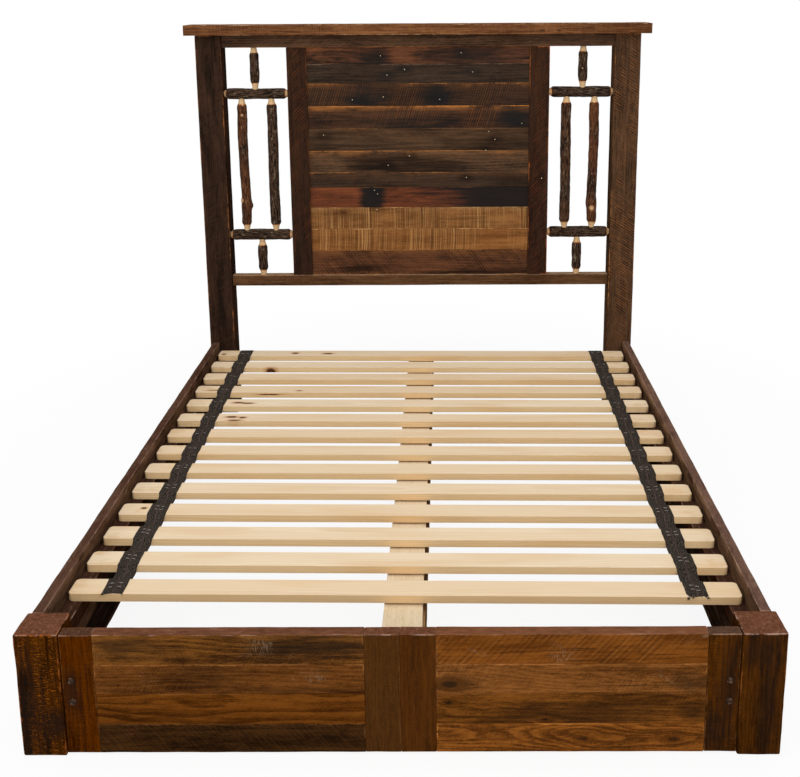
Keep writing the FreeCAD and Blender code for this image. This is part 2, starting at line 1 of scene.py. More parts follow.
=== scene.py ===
# %% [markdown]
# # A rustic platform bed of barn boards
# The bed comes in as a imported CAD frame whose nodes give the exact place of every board. This
# lesson dresses that frame: old boards with saw marks and worn edges, hickory sticks with
# their bark on, pine slats, and two strips of webbing stapled across them.
# Everything is in metres, and the frame is never moved.

# %% Load the frame
import math

import bpy
from mathutils import Matrix, Vector, noise


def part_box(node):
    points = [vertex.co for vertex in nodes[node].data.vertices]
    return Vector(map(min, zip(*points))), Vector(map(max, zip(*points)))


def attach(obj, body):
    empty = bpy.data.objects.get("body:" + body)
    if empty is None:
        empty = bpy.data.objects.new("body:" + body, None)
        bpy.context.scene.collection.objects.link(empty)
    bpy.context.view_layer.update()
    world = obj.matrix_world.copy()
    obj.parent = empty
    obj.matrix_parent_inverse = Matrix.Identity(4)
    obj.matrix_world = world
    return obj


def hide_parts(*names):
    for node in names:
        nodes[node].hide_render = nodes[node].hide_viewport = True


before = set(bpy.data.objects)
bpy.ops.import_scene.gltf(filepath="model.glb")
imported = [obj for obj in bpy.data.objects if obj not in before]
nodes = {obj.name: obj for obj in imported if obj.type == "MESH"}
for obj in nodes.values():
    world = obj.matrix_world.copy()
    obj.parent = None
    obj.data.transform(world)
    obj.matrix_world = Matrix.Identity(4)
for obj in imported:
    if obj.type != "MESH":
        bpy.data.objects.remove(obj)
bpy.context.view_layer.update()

print("frame:", len(nodes), "nodes")

# %% [markdown]
# ## Wires that do arithmetic
# Shader trees and Geometry Nodes trees are built the same way: add a node, then link its
# inputs to other nodes' outputs or fill them with plain values. A wire stands for one output.
# A sum with wires adds the nodes that work it out, so a recipe reads like a sum on paper.


# %% Nodes and wires
class Wire:
    """One output of a node. A sum with it adds the node that works the sum out."""

    def __init__(self, socket):
        self.socket, self.tree = socket, socket.id_data

    def __add__(self, other):
        return sums("ADD", self, other)

    def __sub__(self, other):
        return sums("SUBTRACT", self, other)

    def __rsub__(self, other):
        return sums("SUBTRACT", other, self)

    def __mul__(self, other):
        return sums("MULTIPLY", self, other)

    def __truediv__(self, other):
        return sums("DIVIDE", self, other)

    def __rtruediv__(self, other):
        return sums("DIVIDE", other, self)


class Added:
    """A node in a tree. Its outputs are wires, by number or name."""

    def __init__(self, node):
        self.node = node

    def __getitem__(self, name):
        return Wire(self.node.outputs[name])


def add(tree, kind, inputs=None, **settings):
    """Add a node, set it up, and link or fill its inputs."""
    made = tree.nodes.new(kind)
    for label, setting in settings.items():
        setattr(made, label, setting)
    for label, given in (inputs or {}).items():
        socket = made.inputs[label]
        if isinstance(given, Wire):
            tree.links.new(given.socket, socket)
        elif socket.type == "RGBA" and len(given) == 3:
            socket.default_value = (*given, 1)
        elif socket.type == "VECTOR" and isinstance(given, (int, float)):
            socket.default_value = (given, given, given)
        else:
            socket.default_value = given
    return Added(made)


def tree_of(*parts):
    """The tree that the first wire among some parts belongs to."""
    return next(part.tree for part in parts if isinstance(part, Wire))


def sums(operation, *parts, result=0):
    """One step of arithmetic: on vectors where any part is one, else on numbers."""
    plain = all(part.socket.type == "VALUE" if isinstance(part, Wire)
                else isinstance(part, (int, float)) for part in parts)
    kind = "ShaderNodeMath" if plain else "ShaderNodeVectorMath"
    return add(tree_of(*parts), kind, dict(enumerate(parts)), operation=operation)[result]


print("wires ready")


# %% Vectors, blends, ramps and noise
def joined(x=0.0, y=0.0, z=0.0):
    """A vector from three numbers."""
    return add(tree_of(x, y, z), "ShaderNodeCombineXYZ", {0: x, 1: y, 2: z})[0]


def split(vector):
    """The three numbers of a vector."""
    return add(vector.tree, "ShaderNodeSeparateXYZ", {0: vector})


def length(vector):
    """How long a vector is."""
    return sums("LENGTH", vector, result="Value")


def nearest(distances):
    """The least of several numbers."""
    least, *others = distances
    for other in others:
        least = sums("MINIMUM", least, other)
    return least


def blended(amount, first, second, kind="MIX"):
    """One colour laid over another."""
    return add(tree_of(amount, first, second), "ShaderNodeMix",
               {0: amount, 6: first, 7: second}, data_type="RGBA", blend_type=kind)[2]


def ramped(given, low, high, start=0.0, end=1.0):
    """A smooth step from start to end as a number goes from low to high."""
    return add(given.tree, "ShaderNodeMapRange", {0: given, 1: low, 2: high, 3: start, 4: end},
               interpolation_type="SMOOTHSTEP")[0]


def cloudy(place, stretch, detail=2.0, rough=0.5, warp=0.0):
    """Noise whose cells are stretched by a different number along each axis."""
    return add(place.tree, "ShaderNodeTexNoise", {
        "Vector": place * stretch, "Scale": 1.0, "Detail": detail, "Roughness": rough,
        "Distortion": warp})[0]


def swayed(base, shake, weight):
    """A number pushed up and down by noise that swings round one half."""
    return sums("MULTIPLY_ADD", shake - 0.5, weight, base)


def upward(tree):
    """How far a face looks up: one for a top, nought for a side."""
    return split(add(tree, "ShaderNodeNewGeometry")["Normal"])[2]


print("vector, blend and noise helpers ready")

# %% Groups, materials and objects
VECTOR, NUMBER, COLOUR, GEOMETRY = "Vector", "Float", "Color", "Geometry"


def socket_kind(start):
    """The kind of socket for a starting value; a word is the kind itself."""
    if isinstance(start, str):
        return start
    return {int: "Int", float: NUMBER}.get(type(start)) or {3: VECTOR, 4: COLOUR}[len(start)]


def new_group(label, kind, inputs, outputs):
    """A node group with named sockets, each with its starting value or its kind."""
    tree = bpy.data.node_groups.new(label, kind)
    for way, sockets in (("INPUT", inputs), ("OUTPUT", outputs)):
        for name, start in sockets.items():
            socket = tree.interface.new_socket(name=name, in_out=way,
                                               socket_type="NodeSocket" + socket_kind(start))
            if not isinstance(start, str):
                socket.default_value = start
    return tree, Added(tree.nodes.new("NodeGroupInput")), tree.nodes.new("NodeGroupOutput").inputs


def hand_out(ends, **results):
    """Link what a group hands out."""
    for name, wire in results.items():
        wire.tree.links.new(wire.socket, ends[name])


def grouped(tree, group, inputs):
    """A group placed in a tree with its own values."""
    return add(tree, "ShaderNodeGroup", inputs, node_tree=group)


def cleared(owner):
    """The emptied node tree of a material or a world."""
    owner.use_nodes = True
    owner.node_tree.nodes.clear()
    return owner.node_tree


def bare_material(label):
    """An empty material and its tree."""
    material = bpy.data.materials.new(label)
    return material, cleared(material)


def finished(colour, roughness, height, depth, gloss=0.02, strength=1.0, metal=0.0):
    """Close a material: its colour, roughness and height go into one surface."""
    bump = add(colour.tree, "ShaderNodeBump",
               {"Height": height, "Distance": depth, "Strength": strength})[0]
    surface = add(colour.tree, "ShaderNodeBsdfPrincipled", {
        "Base Color": colour, "Roughness": roughness, "Normal": bump,
        "Specular IOR Level": gloss, "Metallic": metal})[0]
    add(colour.tree, "ShaderNodeOutputMaterial", {0: surface})


def placed(label, data):
    """A new object in the scene."""
    thing = bpy.data.objects.new(label, data)
    bpy.context.scene.collection.objects.link(thing)
    return thing


def meshed(label, points, faces):
    """A new mesh object from points and faces."""
    thing = placed(label, bpy.data.meshes.new(label))
    thing.data.from_pydata(points, [], faces)
    return thing


def tube(rings, around, flip=False):
    """Faces of a skin over rings of points with both ends closed; flip turns them over."""
    last = (rings - 1) * around
    skin = [(row + n, row + (n + 1) % around, row + around + (n + 1) % around, row + around + n)
            for row in range(0, last, around) for n in range(around)]
    start, end = tuple(range(around)), tuple(range(last, last + around))
    if flip:
        return [(a, d, c, b) for a, b, c, d in skin] + [start, end[::-1]]
    return skin + [start[::-1], end]


print("group, material and object helpers ready")

# %% [markdown]
# ## The camera
# The eye stands beyond the foot of the bed, a little higher than the headboard, and looks down
# a little. A small lens shift helps to keep the posts upright in the picture.

# %% Place the camera
LENS = 51.61
SHIFT = (-0.05, -0.15)
EYE = (0.1017, -3.2721, 1.5939)
TURN, TIP, LEAN = -0.333, 13.376, -0.314

camera = placed("camera", bpy.data.cameras.new("camera"))
camera.data.lens = LENS
camera.data.shift_x, camera.data.shift_y = SHIFT
camera.matrix_world = (Matrix.Translation(EYE)
                       @ Matrix.Rotation(math.radians(-TURN), 4, "Z")
                       @ Matrix.Rotation(math.radians(90 - TIP), 4, "X")
                       @ Matrix.Rotation(math.radians(LEAN), 4, "Z"))
bpy.context.scene.camera = camera
print("camera at", EYE)

# %% [markdown]
# ## Light, floor and background
# Soft boxes above, in front and to the left light the bed evenly, with tops brighter than
# fronts. The floor and the world are white to the camera and in mirrors; the floor keeps a
# shadow.

# %% Light the room
WHITE, PALE_GREY = (1, 1, 1), (0.90, 0.90, 0.90)
BOUNCED = 0.34  # how bright the world is for light that bounces about
FLOOR = 14  # half the floor's width
SOFT_BOXES = {  # place, aim, size, watts
    "ceiling": ((0.0, -0.7, 4.3), (0.0, 0.0, 0.2), 4.2, 118),
    "front": ((0.5, -6.4, 3.0), (0.0, 0.4, 0.7), 3.4, 152),
    "left": ((-5.0, -1.6, 2.6), (0.0, 0.0, 0.5), 2.4, 34),
}


def in_view(tree):
    """One for rays from the eye or off a mirror, nought for light that bounces about."""
    path = add(tree, "ShaderNodeLightPath")
    mirrored = sums("MAXIMUM", path["Is Glossy Ray"], path["Is Transmission Ray"])
    return sums("MAXIMUM", path["Is Camera Ray"], mirrored)


world = bpy.data.worlds.new("white room")
bpy.context.scene.world = world
tree = cleared(world)
dim, bright = (add(tree, "ShaderNodeBackground", {"Color": WHITE, "Strength": strength})[0]
               for strength in (BOUNCED, 1.0))
room = add(tree, "ShaderNodeMixShader", {0: in_view(tree), 1: dim, 2: bright})[0]
add(tree, "ShaderNodeOutputWorld", {0: room})

for name, (place, aim, width, watts) in SOFT_BOXES.items():
    lamp = placed(name, bpy.data.lights.new(name, "AREA"))
    lamp.data.size = width
    lamp.data.energy = watts
    lamp.location = place
    lamp.rotation_euler = (Vector(aim) - Vector(place)).to_track_quat("-Z", "Y").to_euler()

floor = meshed("floor", [(-FLOOR, -FLOOR, 0), (FLOOR, -FLOOR, 0), (FLOOR, FLOOR, 0),
                         (-FLOOR, FLOOR, 0)], [(0, 1, 2, 3)])
paint, tree = bare_material("pale floor")
matt = add(tree, "ShaderNodeBsdfDiffuse", {"Color": PALE_GREY})[0]
glow = add(tree, "ShaderNodeEmission", {"Color": WHITE, "Strength": 1.0})[0]
away = length(add(tree, "ShaderNodeTexCoord")["Object"] * (1.0, 0.8, 0.0))
share = in_view(tree) * ramped(away, 0.9, 2.4, 0.90, 1.0)
both = add(tree, "ShaderNodeMixShader", {0: share, 1: matt, 2: glow})[0]
add(tree, "ShaderNodeOutputMaterial", {0: both})
floor.data.materials.append(paint)
print("lamps:", list(SOFT_BOXES))

# %% [markdown]
# ## What makes wood look like wood
# Sawn wood shows growth rings cut at an angle, fine fibres along the board, and short dark
# pores. The group below works in the board's own lengthwise coordinates, in metres: X runs
# along the grain, Y across the face and Z into the board. Because the rings are cylinders round
# a pith beside the board, a face shows arches and an end shows arcs, as on the real thing.

# %% Group: wood grain
grain_group, given, out = new_group(
    "wood grain", "ShaderNodeTree",
    {"Place": VECTOR, "Seed": 0.0, "Rings": 160.0, "Wander": 0.012},
    dict.fromkeys(("Rings", "Fibre", "Pores"), NUMBER))
seed, place, wander = given["Seed"], given["Place"], given["Wander"]
at = place + seed * (3.71, 1.37, 2.23)
slow, quick = cloudy(at, (1.6, 9.0, 9.0)), cloudy(at, (5.0, 30.0, 30.0))
_, y, z = split(place)
pith_y, pith_z = y + sums("SINE", seed) * 0.05, z + 0.045
bent = sums("SQRT", pith_y * pith_y + pith_z * pith_z)
bent = bent + (slow - 0.5) * (wander * 4.0) + (quick - 0.5) * (wander * 0.3)
count = sums("FRACT", bent * given["Rings"])
hand_out(out, Rings=sums("MINIMUM", ramped(count, 0.0, 0.85), ramped(count, 0.86, 1.0, 1.0, 0.0)),
         Fibre=cloudy(at, (9.0, 420.0, 420.0), 3.0, 0.65),
         Pores=ramped(cloudy(at, (45.0, 900.0, 900.0), 1.0), 0.62, 0.72))
print("group:", grain_group.name)

# %% [markdown]
# ## Saw marks
# Old boards came off a circular or band saw, which left slanting scores a few millimetres
# apart, some bold and some faint, and in patches. They are a wave that runs along the board at
# a tilt. Noise shifts the wave, so that no two gaps are alike, and breaks the lines up. The
# crests were rubbed pale and the hollows hold old dirt, so both are handed out.

# %% Group: saw marks
FULL_TURN = 6.2832
saw_group, given, out = new_group(
    "saw marks", "ShaderNodeTree",
    {"Place": VECTOR, "Seed": 0.0, "Tilt": 0.2, "Spacing": 0.007, "Unruly": 1.0, "Breaks": 14.0},
    dict.fromkeys(("Crests", "Hollows", "Patch"), NUMBER))
seed, breaks = given["Seed"], given["Breaks"]
x, y, z = split(given["Place"])
across = y + z
cosine, sine = sums("COSINE", given["Tilt"]), sums("SINE", given["Tilt"])
along = x * cosine + across * sine + across * across * 0.7
side = across * cosine - x * sine
step = along / given["Spacing"]
strip = joined(step, side * (breaks * 0.5), seed)
uneven = cloudy(strip, (0.35, 1.0, 1.0), 3.0, 0.7)
wave = sums("SINE", (uneven * given["Unruly"] + step) * FULL_TURN) * 0.5 + 0.5
bold = ramped(cloudy(strip, (0.9, 1.6, 1.0)), 0.36, 0.64, 0.1)
deep = ramped(cloudy(strip, (0.7, 1.9, 3.0)), 0.36, 0.64, 0.1)
patches = cloudy(given["Place"] + joined(seed), joined(4.0, breaks, breaks), 3.0)
hand_out(out, Crests=sums("POWER", wave, 3.0) * bold,
         Hollows=sums("POWER", 1.0 - wave, 1.5) * deep,
         Patch=ramped(patches, 0.38, 0.6))
print("group:", saw_group.name)

# %% [markdown]
# ## Worn edges, partly a painted highlight
# A board's edges are pale: partly rubbed by hands and years, partly a painted highlight where light
# catches them. On a box, the surface point's second smallest distance to the faces is its distance
# to the nearest edge, so a minimum and a maximum of three numbers find every edge. Noise breaks the
# line up, because wear comes in stretches. On a lying board the upper edge catches the wear and the
# light and gets the pale line, partly painted highlight, and the lower one stays dark.

# %% Group: worn edges
edge_group, given, out = new_group(
    "worn and highlit edges", "ShaderNodeTree",
    {"Place": VECTOR, "Half": VECTOR, "Width": 0.0016, "Upper": 0.0, "Seed": 0.0},
    {"Wear": NUMBER})
place = given["Place"]
x, y, z = split(given["Half"] - sums("ABSOLUTE", place))
to_edge = sums("MAXIMUM", sums("MINIMUM", x, y), sums("MINIMUM", sums("MAXIMUM", x, y), z))
moved = place + joined(0.0, given["Seed"])
ragged = cloudy(moved, (45.0, 90.0, 90.0), 4.0, 0.7)
reach = given["Width"] * ramped(ragged, 0.3, 0.72, 0.2, 2.0)
wear = 1.0 - ramped(to_edge / reach, 0.4, 1.1)
stretches = ramped(cloudy(moved, (6.0, 20.0, 20.0)), 0.42, 0.58)
# only the upper edge, where light falls, keeps the pale line: partly wear, partly painted highlight
above = ramped(split(place)[1], -0.002, 0.002)
hand_out(out, Wear=wear * stretches * (1.0 - given["Upper"] * (1.0 - above)))
print("group:", edge_group.name)

# %% [markdown]
# ## The barn board finish
# One group joins grain, mottling, dark stains, saw marks, cracks, knots, iron stains round old
# nails, brushed dust, worn edges that are partly a painted highlight, a painted highlight band
# under the upper edge, tops whose tone is partly painted sheen, and blots that are stains, and on
# the side rails painted shade, into the colour, roughness and height of an oiled barn board. Each
# board then only chooses its tones and how much it has of each. Round a knot the grain is pulled
# aside first, and every later pattern reads the pulled place, so all of them flow round it.

# %% Group: barn board
FAR = (9.0, 9.0, 9.0)  # a mark that lies here isn't seen
SCUFFED, DUSTY = (0.42, 0.28, 0.155), (0.30, 0.19, 0.115)
# a speckled top tone that is partly wear and partly painted sheen, and a painted highlight for the
# lip where a top turns over
TOP_WEAR_AND_SHEEN, LIP_HIGHLIGHT = (0.36, 0.24, 0.18), (0.42, 0.26, 0.20)
board_group, given, out = new_group("barn board", "ShaderNodeTree", {
    "Place": VECTOR, "Half": VECTOR, "Seed": 0.0,
    "Light": (0.2, 0.09, 0.03, 1), "Dark": (0.05, 0.02, 0.01, 1),
    "Mottle": 2.4, "Streak": 1.6, "Fleck": 0.7, "Figure": 0.3, "Rings": 120.0, "Wander": 0.012,
    "Cracks": 0.6, "Stain": 0.3, "Stain Tone": (0.010, 0.007, 0.006, 1),
    "Saw": 0.15, "Saw Tone": (0.2, 0.07, 0.02, 1), "Score": 0.08,
    "Tilt": -0.5, "Spacing": 0.008, "Unruly": 1.2, "Breaks": 14.0,
    # Glow sets a painted highlight band under the upper edge; Edge is worn edges, partly painted
    # highlight
    "Edge": 0.5, "Edge Tone": (0.34, 0.14, 0.045, 1), "Upper": 0.0, "Glow": 0.0, "Width": 0.0024,
    # Top and Top Tone give tops a tone of their own: partly wear, partly painted sheen
    "Scuff": 0.0, "Dust": FAR, "Top": 0.0, "Top Tone": (0.15, 0.058, 0.032, 1),
    "Spot 1": FAR, "Spot 2": FAR, "Spot 3": FAR, "Knot 1": FAR, "Knot 2": FAR, "Knot Size": 0.008,
    "Blot 1": FAR, "Reach 1": (1.0, 1.0, 1.0), "Blot 2": FAR, "Reach 2": (1.0, 1.0, 1.0),
    "Blotted": 0.75, "Soft": 0.65},
    {"Color": COLOUR, "Roughness": NUMBER, "Height": NUMBER})


def passed(*names):
    """Some of the board's own inputs, to hand to a smaller group."""
    return {name: given[name] for name in names}


def away_from(mark, stretch):
    """Distance from a mark, shorter along the grain."""
    return length((spot - mark) * stretch)


seed, spot, soft, stain_tone = (given[name] for name in ("Seed", "Place", "Soft", "Stain Tone"))
place, knot_reach = spot, []
for knot in (given["Knot 1"], given["Knot 2"]):
    knot_reach.append(away_from(knot, (0.5, 1, 1)))
    ratio = knot_reach[-1] / (given["Knot Size"] * 2.4)
    pull = sums("EXPONENT", ratio * ratio * -1.0) * 0.85
    place = place - (spot - knot) * joined(0.0, pull, pull)
moved = place + seed * (2.3, 4.1, 1.9)
grain = grouped(board_group, grain_group, passed("Seed", "Rings", "Wander") | {"Place": place})
saw = grouped(board_group, saw_group,
              passed("Place", "Seed", "Tilt", "Spacing", "Unruly", "Breaks"))
wear = grouped(board_group, edge_group, passed("Place", "Half", "Seed", "Width", "Upper"))["Wear"]

# the mixed tones of the bare wood
broad = cloudy(moved, (2.8, 15.0, 15.0), 4.0, 0.62, 0.7)
streak = cloudy(moved, (7.0, 105.0, 105.0), 5.0, 0.7, 0.4)
pepper = cloudy(moved, (240.0, 420.0, 420.0), 3.0, 0.75)
fleck = cloudy(moved, (38.0, 130.0, 130.0), 4.0, 0.72, 0.5)
tone = 0.5
for shake, weight in ((broad, given["Mottle"]), (streak, given["Streak"]), (fleck, given["Fleck"]),
                      (grain["Rings"], given["Figure"]), (grain["Fibre"], 0.9), (pepper, 1.25)):
    tone = swayed(tone, shake, weight)
tone = sums("MINIMUM", sums("MAXIMUM", tone, 0.0), 1.0)
colour = blended(tone, given["Dark"], given["Light"])

# a painted highlight: a pale band under the upper edge, where light falls; then saw marks
crest = saw["Crests"] * given["Saw"] * saw["Patch"]
hollow = saw["Hollows"] * given["Score"] * saw["Patch"]
below = split(given["Half"])[1] - split(spot)[1]
glow = ramped(swayed(swayed(below, broad, 0.07), streak, 0.03), 0.0, 0.030, 1.0, 0.0)
glow = glow * given["Glow"] * ramped(cloudy(moved, (6.0, 9.0, 9.0), 4.0, 0.65), 0.40, 0.60)
colour = blended(glow, colour, given["Edge Tone"])
colour = blended(crest, colour, given["Saw Tone"])
colour = blended(hollow, colour, stain_tone)

# stains, blots (stains, and on the side rails painted shade), cracks and pores
smear = swayed(cloudy(moved, (1.9, 9.0, 9.0), 3.0, 0.6, 0.5),
               cloudy(moved, (14.0, 90.0, 90.0), 4.0, 0.75), 0.4)
shore = 0.80 - given["Stain"] * 0.5
stain = ramped(smear, shore, shore + 0.16)
colour = blended(stain * 0.88, colour, stain_tone)
for n in (1, 2):
    away = length((spot - given[f"Blot {n}"]) / given[f"Reach {n}"])
    away = swayed(swayed(away, streak, soft * 2.9), broad, soft * 2.6)
    blot = ramped(away, 0.85 - soft, soft + 0.85, 1.0, 0.0)
    colour = blended(blot * given["Blotted"], colour, stain_tone)
crack = ramped(cloudy(moved, (4.0, 150.0, 150.0), 3.0, 0.6), 0.64, 0.72) * given["Cracks"]
colour = blended(sums("MAXIMUM", crack, grain["Pores"] * 0.5), colour, stain_tone)

# scuffs and brushed dust
scuff = ramped(cloudy(moved, (11.0, 16.0, 16.0), 5.0, 0.75, 0.6), 0.60, 0.78) * given["Scuff"]
colour = blended(scuff, colour, SCUFFED)
away = swayed(swayed(away_from(given["Dust"], (0.8, 1, 1)), fleck, 0.10), broad, 0.05)
strokes = ramped(cloudy(moved, (480.0, 80.0, 80.0), 3.0, 0.7), 0.46, 0.64, 0.0, 0.44)
colour = blended(ramped(away, 0.002, 0.030, 1.0, 0.0) * strokes, colour, DUSTY)

# iron stains round old nails, and knots
away = nearest([away_from(given[f"Spot {n}"], (0.45, 1, 1)) for n in (1, 2, 3)])
iron = ramped(away, 0.003, 0.024, 0.8, 0.0) * ramped(fleck, 0.38, 0.58, 0.3, 1.0)
colour = blended(iron, colour, stain_tone)
size = swayed(swayed(nearest(knot_reach), pepper, 0.006), streak, 0.012) / given["Knot Size"]
colour = blended(ramped(size, 0.9, 2.8, 0.6, 0.0), colour, given["Dark"])
colour = blended(ramped(size, 0.45, 1.05, 0.92, 0.0), colour, stain_tone)

# tops get a tone of their own, partly worn and partly painted sheen; then worn edges, partly
# painted highlight; and a painted highlight on the lip where a top turns over
up = upward(board_group)
speckle = swayed(swayed(fleck, pepper, 0.3), streak, 0.6)
top_tone = blended(ramped(speckle, 0.30, 0.60, 0.55, 1.0), stain_tone, given["Top Tone"])
top_tone = blended(ramped(speckle, 0.58, 0.76, 0.0, 0.35), top_tone, TOP_WEAR_AND_SHEEN)
colour = blended(ramped(up, 0.6, 0.95) * given["Top"], colour, top_tone)
colour = blended(wear * given["Edge"], colour, given["Edge Tone"])
lip = ramped(up, 0.08, 0.35) * ramped(up, 0.78, 0.95, 1.0, 0.0) * given["Top"]
lip = lip * ramped(cloudy(moved, (30, 30, 30), 3.0, 0.7), 0.40, 0.62)
colour = blended(lip * 0.85, colour, LIP_HIGHLIGHT)
hand_out(out, Color=colour, Roughness=swayed(stain * 0.08 + 0.74, streak, 0.3),
         Height=(streak * 0.6 + grain["Fibre"] * 0.4 + crest * 0.5 + pepper * 0.3
                 - hollow * 0.6 - crack * 0.8))
print("group:", board_group.name)

# %% [markdown]
# ## Every board and its tones
# Reclaimed boards never match: red-brown next to charcoal next to honey. The table gives each
# board its light and dark tone, then whatever it has more or less of than most: stain, saw
# marks and their tilt and tone, figure, wear, knots, and the places of old nails. Some of it is
# painted light: glow is a painted highlight under the upper edge, the pale edges and the tops are
# partly painted highlight and sheen, and the side rails' blot and the ledgers' dark tones are
# painted shade. Boards that make a pair share a first list. A mark on a front is given by its x
# and z alone.

# %% Tones, board by board
SLANT, STEEP = -0.8, -0.3
RED_TOP, GREY_TOP = (0.163, 0.063, 0.032), (0.106, 0.056, 0.035)
COLD_STAIN = (0.013, 0.014, 0.014)
STILE = dict(light=(0.0555, 0.0257, 0.0139), mottle=2.2, streak=1.2, fleck=1.2, figure=0.1, saw=0.5,
    saw_tone=(0.183, 0.0483, 0.014), score=0.45, tilt=SLANT, spacing=0.009, unruly=1.3, breaks=22.0,
    width=0.0034)
# glow here is a painted highlight under the upper edge
TAN = dict(streak=0.8, figure=0.15, saw=1.0, spacing=0.009, unruly=5.0, breaks=1.5, edge=0.9,
    upper=1.0)
PLANK = dict(streak=1.2, fleck=1.2, saw=0.2, score=0.2, tilt=0.05, spacing=0.006, unruly=4.0,
    breaks=20.0, edge=0.3, top=0.9)
MULLION = dict(mottle=1.2, streak=1.1, fleck=1.3, figure=0.2, stain=0.1, saw=0.1, tilt=0.1,
    spacing=0.005, unruly=4.0, breaks=30.0, edge=0.2, top=0.9, top_tone=RED_TOP)
# glow on the rails is a painted highlight under the upper edge
RAIL = dict(light=(0.165, 0.09, 0.049), dark=(0.03, 0.014, 0.009), streak=2.2, fleck=1.0, saw=0.2,
    glow=1.0, scuff=0.6, top=0.8, blotted=0.9)
# the ledgers' dark tones are partly painted shade: the shade they lie in under the slats
LEDGER = dict(light=(0.06, 0.024, 0.012), dark=(0.016, 0.008, 0.005), saw=0.2, edge=0.1, top=0.7,
    top_tone=(0.052, 0.023, 0.014))
CLEAT = dict(light=(0.12, 0.05, 0.022), dark=(0.05, 0.022, 0.012), saw=0.3)
